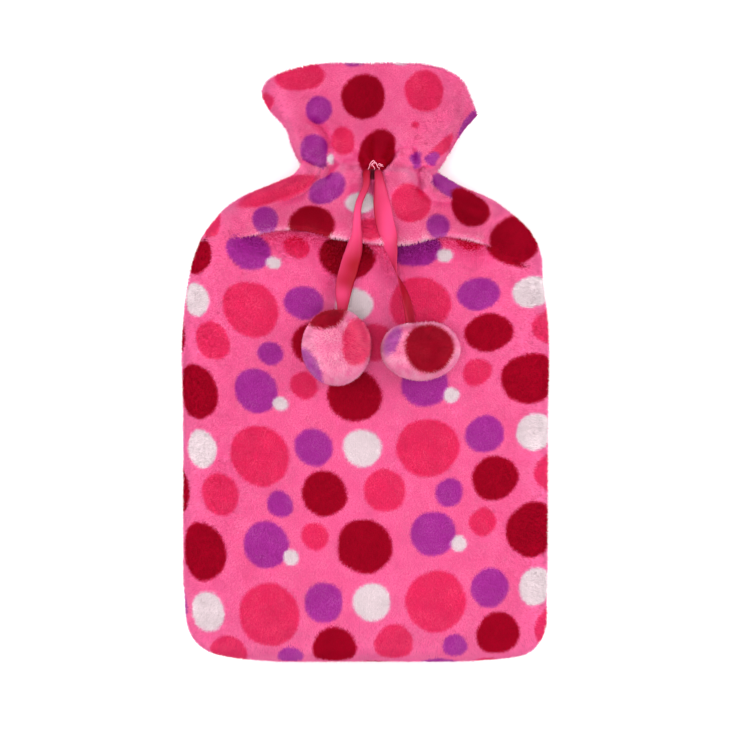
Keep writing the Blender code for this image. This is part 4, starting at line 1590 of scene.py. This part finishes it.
# %% The neck's line and the slit
SLIT_MIDDLE = (4.2, 111.8)
SLIT_HALF = (6.4, 3.5)
SLIT_DIP, SLIT_DIP_HALF = 1.4, (7.0, 4.5)
NECK_DIP, NECK_DIP_HALF = 1.3, 3.0
NECK_HALF = 41.0


def from_slit(x, y, half):
    """Distance from the slit's middle: 1 on the oval of these half sizes."""
    return np.hypot((x - SLIT_MIDDLE[0]) / half[0], (y - SLIT_MIDDLE[1]) / half[1])


def drawn_in(grid):
    """Depth of the line where the ribbon draws the neck in, and of the dip round the slit: a
    bell across each."""
    x, y = grid[..., 0], grid[..., 1]
    line = NECK + NECK_SLANT * x / NECK_HALF
    dip = SLIT_DIP * bell(from_slit(x, y, SLIT_DIP_HALF), 1.0)
    return -NECK_DIP * bell(y - line, NECK_DIP_HALF) - dip


# %% The upper front
UPPER_COLUMNS = 221
FLAP_ROWS = 52
FRONT_RUFFLE = 61.0
FRONT_RUFFLE_ROWS = 56
HEM_FROM_EDGE = 4.0, 18.0


def ruffle_rows(length, rows):
    """Shares of the way up the ruffle, close together where its free edge is rounded."""
    straight = np.linspace(0, 1 - HEM_ROUND / length, rows)[:-1]
    return np.concatenate([straight, 1 - edge_rows()[::-1] / length])


def upper_front():
    """Outer and inner face, the distance from the free edges, how much the flap's hem shows, and
    the height of the creases."""
    small = edge_rows()
    share = np.linspace(0, 1, FLAP_ROWS)[1:]
    offset = np.concatenate([small, np.full(len(share), HEM_ROUND)])[:, None]
    share = np.concatenate([np.zeros(len(small)), share])[:, None]
    across_line = np.linspace(-1, 1, UPPER_COLUMNS)
    hem = flap_hem(across_line)
    y = hem + offset + (NECK - hem - HEM_ROUND) * share
    up = ruffle_rows(FRONT_RUFFLE, FRONT_RUFFLE_ROWS)[1:, None] * np.ones(UPPER_COLUMNS)
    across = np.broadcast_to(across_line, (len(y) + len(up), UPPER_COLUMNS))
    bag = bag_surface(across[: len(y)], y, True)
    ruffle = ruffle_surface(across[len(y) :], up, True)
    grid = folded(np.concatenate([bag, ruffle]), across, FRONT_FOLDS, 1.0)
    creased = crease_height(grid[..., 0], grid[..., 1], CREASES) * off_seams(across) * CREASE_DEPTH
    from_hem = np.concatenate([y - hem, (1 - up) * FRONT_RUFFLE])
    in_hem = 1 - step(*HEM_FROM_EDGE, from_hem)
    at_flap = np.concatenate([np.ones(y.shape), np.zeros(up.shape)])
    thick_hem = hem_shows(across) * at_flap
    proud = HEM_PROUD * in_hem * thick_hem
    full = grid + vertex_normals(grid) * (proud + creased + drawn_in(grid))[..., None]
    thickness = GROUND + in_hem * (HEM_THICK * thick_hem + (1 - at_flap) * CLOTH)
    outer, inner = two_faces(full, thickness, from_hem, 1)
    seam = np.concatenate([seam_height(y), ruffle_seam(up)])
    return kept_above(outer, seam, 1), kept_above(inner, seam, 1), from_hem, thick_hem, creased


upper_outer, upper_inner, upper_from_hem, upper_hem_shows, upper_creased = upper_front()
upper_places = cloth_places(upper_outer, False)
upper_dots = placed_on_cloth(PLACED, upper_outer, upper_places)
cell_middle = (upper_outer[1:, 1:] + upper_outer[:-1, :-1]) / 2
upper_cells = from_slit(cell_middle[..., 0], cell_middle[..., 1], SLIT_HALF) > 1


def upper_dye(u, v):
    return placed_dye(u, v, upper_dots)


upper_sheet = panel(
    "fleece_upper_front", upper_outer, upper_inner, upper_places, upper_cells, 1, upper_dye
)
print("upper front, cm2:", round(sheet_area(upper_outer, upper_cells) / 100))

# %% Painted sheen and shade on the upper front
# Share of the pale undyed fibre along the hem, partly real and partly painted sheen, and how far in
# mm it fades.
HEM_UNDYED_AND_PAINTED_SHEEN = ((0.32, 3.0), (0.10, 9.0))
# Painted highlight on the crests of the creases and painted shade in their hollows, as shares.
CREST_PAINTED_HIGHLIGHT, HOLLOW_PAINTED_SHADE = 0.05, 0.28
CLOUD_FROST, CLOUD_GRAIN = 0.05, 13.0
MOST_FROST = 0.7


def upper_frost():
    """How much of the pale undyed fibre shows, 0 to 1: most along the hem and some in a broad band
    above it, partly real and partly painted sheen, a little on the crests of the creases as a
    painted highlight, and in soft clouds. In the bottom of a crease it is under 0, a painted shade
    for cloth that is deep in its own shade."""
    along_hem = sum(share * bell(upper_from_hem, reach) for share, reach in HEM_UNDYED_AND_PAINTED_SHEEN)
    clouds = 0.5 + 0.5 * soft_noise(np.stack(upper_places, axis=-1), CLOUD_GRAIN, 91)
    relief = np.where(upper_creased > 0, CREST_PAINTED_HIGHLIGHT, HOLLOW_PAINTED_SHADE) * upper_creased
    frost = along_hem * upper_hem_shows + relief + CLOUD_FROST * clouds
    return np.clip(frost, -MOST_FROST, MOST_FROST)


upper_frosted = upper_frost()
print("frost from", upper_frosted.min().round(2), "to", upper_frosted.max().round(2))

# %% The back
BACK_LIFT = 1.2
BACK_ROWS_EVERY = 2.4
BACK_COLUMNS = 151
BACK_RUFFLE = 58.0
BACK_RUFFLE_ROWS = 34
BACK_HEM_FROM_EDGE = 6.0, 14.0
FAR = 99.0


def back_panel():
    rows = level_rows(NECK, BACK_ROWS_EVERY)[:-1]
    up = ruffle_rows(BACK_RUFFLE, BACK_RUFFLE_ROWS)[:, None] * np.ones(BACK_COLUMNS)
    shape = len(rows) + len(up), BACK_COLUMNS
    across = np.broadcast_to(np.linspace(-1, 1, BACK_COLUMNS), shape)
    y = np.broadcast_to(rows[:, None], (len(rows), BACK_COLUMNS))
    bag = bag_surface(across[: len(rows)], y, False)
    ruffle = ruffle_surface(across[len(rows) :], up, False)
    full = folded(np.concatenate([bag, ruffle]), across, BACK_FOLDS, 0.0)
    full[..., 2] = np.maximum(full[..., 2], BACK_LIFT)
    from_edge = np.concatenate([np.full(y.shape, FAR), (1 - up) * BACK_RUFFLE])
    thickness = GROUND + CLOTH * (1 - step(*BACK_HEM_FROM_EDGE, from_edge))
    outer, inner = two_faces(full, thickness, from_edge, -1)
    seam = np.concatenate([seam_height(y), ruffle_seam(up)])
    return kept_above(outer, seam, -1), kept_above(inner, seam, -1)


back_outer, back_inner = back_panel()
back_places = cloth_places(back_outer, True)
back_cells = whole(back_outer)
back_sheet = panel("fleece_back", back_outer, back_inner, back_places, back_cells, -1, repeat_dye)
print("back, cm2:", round(sheet_area(back_outer, back_cells) / 100))

# %% [markdown]
# ### Laying the pile on the panels
#
# Seen from the front, the pile is what the cover is made of. It is brushed down, towards the
# bottom seam. On the lower front it stops just under the flap, where nobody sees it, and on the
# back it is pressed flat between the cover and the table.

# %% Pile of the front
PILE_LONG = 1.9
BRUSHED = (0.15, -1.0)
BACK_BRUSHED = (0.10, -1.0)
# The lower front's pile is a piece below this height and another above it, and it ends a little
# way under the flap.
HALVES_MEET = -60.0
UNDER_FLAP = 2.0
FIBRES = {
    # piece: number of fibres, lean, seed
    "pile_front_bottom": (150000, 0.30, 100),
    "pile_front_middle": (150000, 0.30, 110),
    "pile_upper_front": (125000, 0.25, 130),
    "pile_back": (135000, 0.30, 150),
}


def panel_pile(name, grid, places, weight, dye, lay=BRUSHED, **more):
    """The pile of a panel as a piece."""
    count, lean, seed = FIBRES[name]
    mesh = pile_mesh(
        name,
        grid,
        places,
        weight.astype(float),
        dyed(places, dye),
        count,
        PILE_LONG,
        lay,
        lean,
        seed,
        **more,
    )
    return piece(name, mesh, pile_fleece)


shown_cells = (lower_past_hem < UNDER_FLAP)[:-1, :-1]
bottom_half = lower_outer[:-1, :-1, 1] < HALVES_MEET
# The lower pile takes the painted shadow under the hem and beside the tails.
lower_pile = [
    panel_pile(name, lower_outer, lower_places, shown_cells & half, lower_dye, frost=-lower_painted_shade)
    for name, half in (("pile_front_bottom", bottom_half), ("pile_front_middle", ~bottom_half))
]
# The upper pile takes its painted sheen and shade.
upper_pile = [
    panel_pile(
        "pile_upper_front", upper_outer, upper_places, upper_cells, upper_dye, frost=upper_frosted
    )
]

# %% Pile of the back, pressed flat where it lies
PILE_FLOOR = 0.15
# The back's grid is read from right to left, so that its normals point out, down to the table.
turned_grid = back_outer[:, ::-1]
turned_places = tuple(values[:, ::-1] for values in back_places)
back_pile = [
    panel_pile(
        "pile_back",
        turned_grid,
        turned_places,
        back_cells,
        repeat_dye,
        lay=BACK_BRUSHED,
        floor=PILE_FLOOR,
    )
]

# %% [markdown]
# ## The stuffed balls
#
# Each ball is a small bag of the same fleece, filled with loose fibre and gathered where the
# ribbon is sewn in. The left one is nearly round with a narrower top. The right one lies on its
# side: it is wide and low, narrows to the left and is puckered at its top. A sphere in polar
# coordinates gives both, with its pole at the ribbon's end, where the pucker's folds run out like
# the ribs of a pumpkin.

# %% Shapes of the balls
BALLS = (
    # name, centre and radii in mm, narrowing to the left, narrowing to the top, pucker
    ("pompom_left", (-17.0, 9.0, 66.0), (18.6, 21.4, 17.2), 0.0, 0.10, 0.08),
    ("pompom_right", (30.0, 7.0, 65.2), (21.5, 16.4, 16.2), 0.10, 0.0, 0.22),
)
BALL_REST = 49.8
BALL_AROUND = 120
BALL_ALONG = 60
PUCKER_REACH = 0.5
WRINKLES, WRINKLE_DEPTH = 9, 0.35
LUMP_HIGH, LUMPS, LUMP_GRAIN = 0.015, 3.0, 1.6
polar = np.linspace(0, np.pi, BALL_ALONG + 1)[:, None]
around = np.linspace(0, 2 * np.pi, BALL_AROUND + 1)
ball_ways = np.stack(
    np.broadcast_arrays(
        np.sin(polar) * np.cos(around), np.cos(polar), np.sin(polar) * np.sin(around)
    ),
    axis=-1,
)


def ball_points(centre, radii, narrowing, tip, pucker, seed):
    """Points of a ball on a grid of polar angle by angle around. A point of the unit sphere is
    stretched to the radii; the left end and the top are drawn in; and near the top pole the skin
    dips and wrinkles by pucker * exp(-(polar / reach)^2) * (1 + depth * cos(wrinkles * around))."""
    uneven_turn = WRINKLES * around + 1.5 * np.sin(around)
    wrinkle = 1 + WRINKLE_DEPTH * np.cos(uneven_turn) * np.minimum(1, polar / 0.25)
    dip = pucker * bell(polar, PUCKER_REACH) * wrinkle
    lumps = LUMP_HIGH * soft_noise(ball_ways * LUMPS, LUMP_GRAIN, seed) * np.sin(polar)
    narrow = 1 + narrowing * ball_ways[..., 0]
    girth = narrow * (1 - tip * step(0.2, 1.0, ball_ways[..., 1]))
    scale = (1 - dip + lumps)[..., None] * np.stack([girth, narrow, girth], axis=-1)
    points = ball_ways * radii * scale + centre
    points[..., 2] = np.maximum(points[..., 2], BALL_REST)
    return points


# %% Dots of the balls
# Those that show: middle and size in pixels of the photograph, turn in degrees and dye.
BALL_DOTS = {
    "pompom_left": (
        (328.5, 317.0, 40.0, 25.0, 20.0, "dark red"),
        (357.0, 342.5, 29.0, 44.0, -8.0, "raspberry"),
        (311.0, 367.0, 22.0, 44.0, 28.0, "purple"),
    ),
    "pompom_right": (
        (427.0, 348.5, 45.5, 44.5, 0.0, "dark red"),
        (393.0, 342.0, 12.0, 28.0, -22.0, "purple"),
    ),
}
# And those on the side away from the camera: direction from the middle, half angle and dye.
HIDDEN_DOTS = {
    "pompom_left": (((0.5, -0.5, -0.7), 0.45, "dark red"), ((-0.6, 0.3, -0.7), 0.35, "white")),
    "pompom_right": (((0.7, -0.3, -0.6), 0.4, "raspberry"), ((-0.6, -0.5, -0.6), 0.35, "white")),
}


def ball_dye(name, centre, radii, narrowing):
    """The dyes' shares at a direction on the ball. From above, a dot is an oval in x, y."""

    def dye(direction):
        girth = 1 + narrowing * direction[..., 0]
        x = direction[..., 0] * radii[0] * girth + centre[0]
        y = direction[..., 1] * radii[1] * girth + centre[1]
        x, y = uneven(x, y, 41)
        upper_side = direction[..., 2] > -0.15
        dyes = np.broadcast_to(PLAIN, (*x.shape, len(PLAIN)))
        for px, py, width, height, turn, colour in BALL_DOTS[name]:
            half = width * PIXEL / 2, height * PIXEL / 2
            inside = inside_oval(x, y, from_photo([px, py]), half, np.radians(turn))
            dyes = printed(dyes, colour, np.where(upper_side, inside, -FAR))
        for way, half_angle, colour in HIDDEN_DOTS[name]:
            angle = np.arccos(np.clip(unit(direction) @ unit(np.array(way)), -1, 1))
            dyes = printed(dyes, colour, (half_angle - angle) * radii[0])
        return dyes

    return dye


# %% Skins of the balls
def ball_skin(name, points, dye):
    """The closed skin of a ball: the grid with its seam joined and one point at each pole."""
    ring = points[1:-1, :-1]
    poles = points[0, 0], points[-1, 0]
    flat = np.concatenate([ring.reshape(-1, 3), poles])
    index = np.arange(ring.shape[0] * ring.shape[1]).reshape(ring.shape[:2])
    turned = np.roll(index, -1, axis=1)
    quads = ring_quads(index)
    top, bottom = len(flat) - 2, len(flat) - 1
    caps = np.concatenate(
        [
            np.stack([np.full(index.shape[1], top), turned[0], index[0]], axis=-1),
            np.stack([np.full(index.shape[1], bottom), index[-1], turned[-1]], axis=-1),
        ]
    )
    thirds = np.concatenate([quads[:, [0, 1, 2]], quads[:, [0, 2, 3]], caps])
    mesh = new_mesh(name, flat, thirds)
    ways = np.concatenate([ball_ways[1:-1, :-1].reshape(-1, 3), [[0, 1, 0], [0, -1, 0]]])
    # Painted shade: the skin is darkened as under its pile.
    give_colours(mesh, "print", mixed_light(dye(ways)) * ROOT_SHADE)
    give_map(mesh, "cloth_mm", flat[:, :2])
    mesh.shade_smooth()
    return mesh


# %% Both balls and their pile
BALL_FIBRES = 38000
BALL_PILE_LONG = 2.2
BALL_BRUSHED, BALL_LEAN, BALL_LOOSE = (0.0, 1.0), 0.2, 0.40
# Pale undyed fibre all over the balls, a painted sheen for their frosted bloom.
BALL_PAINTED_SHEEN = 0.27
# The stray of a dye in mm, as a turn on a ball of this radius in mm.
STRAY_RADIUS = 100 / 3


def ball_strayed(dye):
    """Asks a ball for its dye at each root, in a direction that is turned a little by chance."""

    def dye_at(read, stray):
        return dye(unit(read(ball_ways) + np.column_stack([stray, stray[:, 0]]) / STRAY_RADIUS))

    return dye_at


balls = {}
for k, (name, centre, radii, narrowing, tip, pucker) in enumerate(BALLS):
    points = ball_points(centre, radii, narrowing, tip, pucker, 60 + k)
    dye = ball_dye(name, centre, radii, narrowing)
    balls[name] = piece(f"fleece_{name}", ball_skin(name, points, dye), knit_outside)
    size = float(np.mean(radii))
    mesh = pile_mesh(
        f"pile_{name}",
        points,
        np.broadcast_arrays(around * size, -polar * size),
        np.ones((BALL_ALONG, BALL_AROUND)),
        ball_strayed(dye),
        BALL_FIBRES,
        BALL_PILE_LONG,
        BALL_BRUSHED,
        BALL_LEAN,
        170 + 10 * k,
        frost=np.full(ball_ways.shape[:2], BALL_PAINTED_SHEEN),
        loose=BALL_LOOSE,
    )
    piece(mesh.name, mesh, pile_ball)
    print(name, "is", [round(2 * radius, 1) for radius in radii], "mm wide without its pile")

# %% [markdown]
# ## Frayed threads at the slit
#
# The ribbon is tacked to the cloth just above the slit, and the cut ends of the tack fray into a
# few pale pink threads. Each thread is a thin tube along a short curve whose points are listed.

# %% Threads
THREAD_PINK = "#FF9DBA"
THREAD_WIDE = 0.42
THREAD_SIDES = 6
THREAD_STATIONS = 16
# How high a thread's two ends stand over the cloth.
THREAD_ENDS = 0.6, 0.9
THREADS = (
    # four points of each thread in pixels of the photograph, and how high its middle stands
    ((369.5, 169.5), (370.5, 165.0), (373.0, 162.5), (375.0, 166.0), 3.4),
    ((375.0, 162.5), (372.5, 166.5), (374.5, 169.5), (374.0, 171.5), 2.8),
    ((374.0, 163.0), (376.5, 165.5), (377.5, 168.5), (380.0, 169.5), 3.0),
    ((377.0, 167.5), (379.5, 165.5), (381.5, 166.5), (382.6, 166.0), 2.4),
    ((378.0, 166.0), (380.5, 167.5), (382.0, 167.5), (383.4, 168.0), 2.0),
    ((371.0, 168.0), (372.0, 165.5), (374.5, 164.5), (377.0, 166.5), 3.6),
    ((369.0, 168.0), (368.5, 170.0), (367.5, 171.5), (367.0, 173.0), 1.6),
    ((378.5, 169.0), (379.5, 171.0), (380.8, 172.5), (381.5, 174.0), 1.8),
)


def height_at(grid, x, y):
    """Height of a panel's outer face at x, y, from the nearest point of its grid."""
    return grid[..., 2].ravel()[np.argmin(np.hypot(grid[..., 0] - x, grid[..., 1] - y))]


def tube_mesh(name, lines, radius, sides):
    """Closed tubes round several lines: rings of `sides` points, square to each line's run, that
    taper at both ends."""
    points, faces = [], []
    first = 0
    angle = np.linspace(0, 2 * np.pi, sides, endpoint=False)
    for line in lines:
        run = unit(np.gradient(line, axis=0))
        aside = unit(np.cross(run, [0.0, 0.0, 1.0]) + 1e-6)
        rise = np.cross(aside, run)
        taper = np.sqrt(np.clip(1 - np.linspace(-1, 1, len(line)) ** 8, 0.05, 1))[:, None, None]
        ring = aside[:, None] * np.cos(angle)[:, None] + rise[:, None] * np.sin(angle)[:, None]
        points.append((line[:, None] + radius * taper * ring).reshape(-1, 3))
        index = np.arange(len(line) * sides).reshape(-1, sides) + first
        faces.append(ring_quads(index)[:, ::-1])
        caps = np.array([index[0], index[-1, ::-1]])
        faces.append(np.concatenate([caps[:, [0, 1, 2, 3]], caps[:, [0, 3, 4, 5]]]))
        first += len(line) * sides
    return new_mesh(name, np.concatenate(points), np.concatenate(faces))


lines = []
for *corners, high in THREADS:
    flat = from_photo(corners)
    base = np.array([height_at(upper_outer, x, y) for x, y in flat])
    lift = np.array([THREAD_ENDS[0], high, high, THREAD_ENDS[1]])
    lines.append(smooth_route(np.column_stack([flat, base + lift]), THREAD_STATIONS))
thread_mesh = tube_mesh("frayed_threads", lines, THREAD_WIDE / 2, THREAD_SIDES)
thread_mesh.shade_smooth()
# Spun polyester thread: a soft gloss from its smooth filaments, and a little fuzz round them.
polyester_thread, _, shader = new_material("polyester_thread")
shader.inputs["Base Color"].default_value = (*linear(THREAD_PINK), 1.0)
shader.inputs["Roughness"].default_value = 0.5
shader.inputs["Sheen Weight"].default_value = 0.3
piece("frayed_threads", thread_mesh, polyester_thread)
print(len(lines), "threads")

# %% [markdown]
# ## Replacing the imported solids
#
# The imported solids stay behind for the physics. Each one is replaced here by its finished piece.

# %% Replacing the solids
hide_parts("front_lower_panel")
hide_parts("front_upper_panel")
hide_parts("back_panel")
for name in balls:
    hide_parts(name)
for side in ("left", "right"):
    name = f"ribbon_{side}"
    path = tail_paths[name]
    run = run_along(path)[-1]
    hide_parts(name)
sheet_area(lower_outer, lower_cells) * MM * MM
sheet_area(upper_outer, upper_cells) * MM * MM
sheet_area(back_outer, back_cells) * MM * MM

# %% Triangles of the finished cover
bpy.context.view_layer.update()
triangles = sum(
    len(face.vertices) - 2
    for obj in bpy.context.scene.objects
    if obj.type == "MESH" and not obj.hide_render and obj != table_top
    for face in obj.data.polygons
)
print("triangles in all:", triangles)
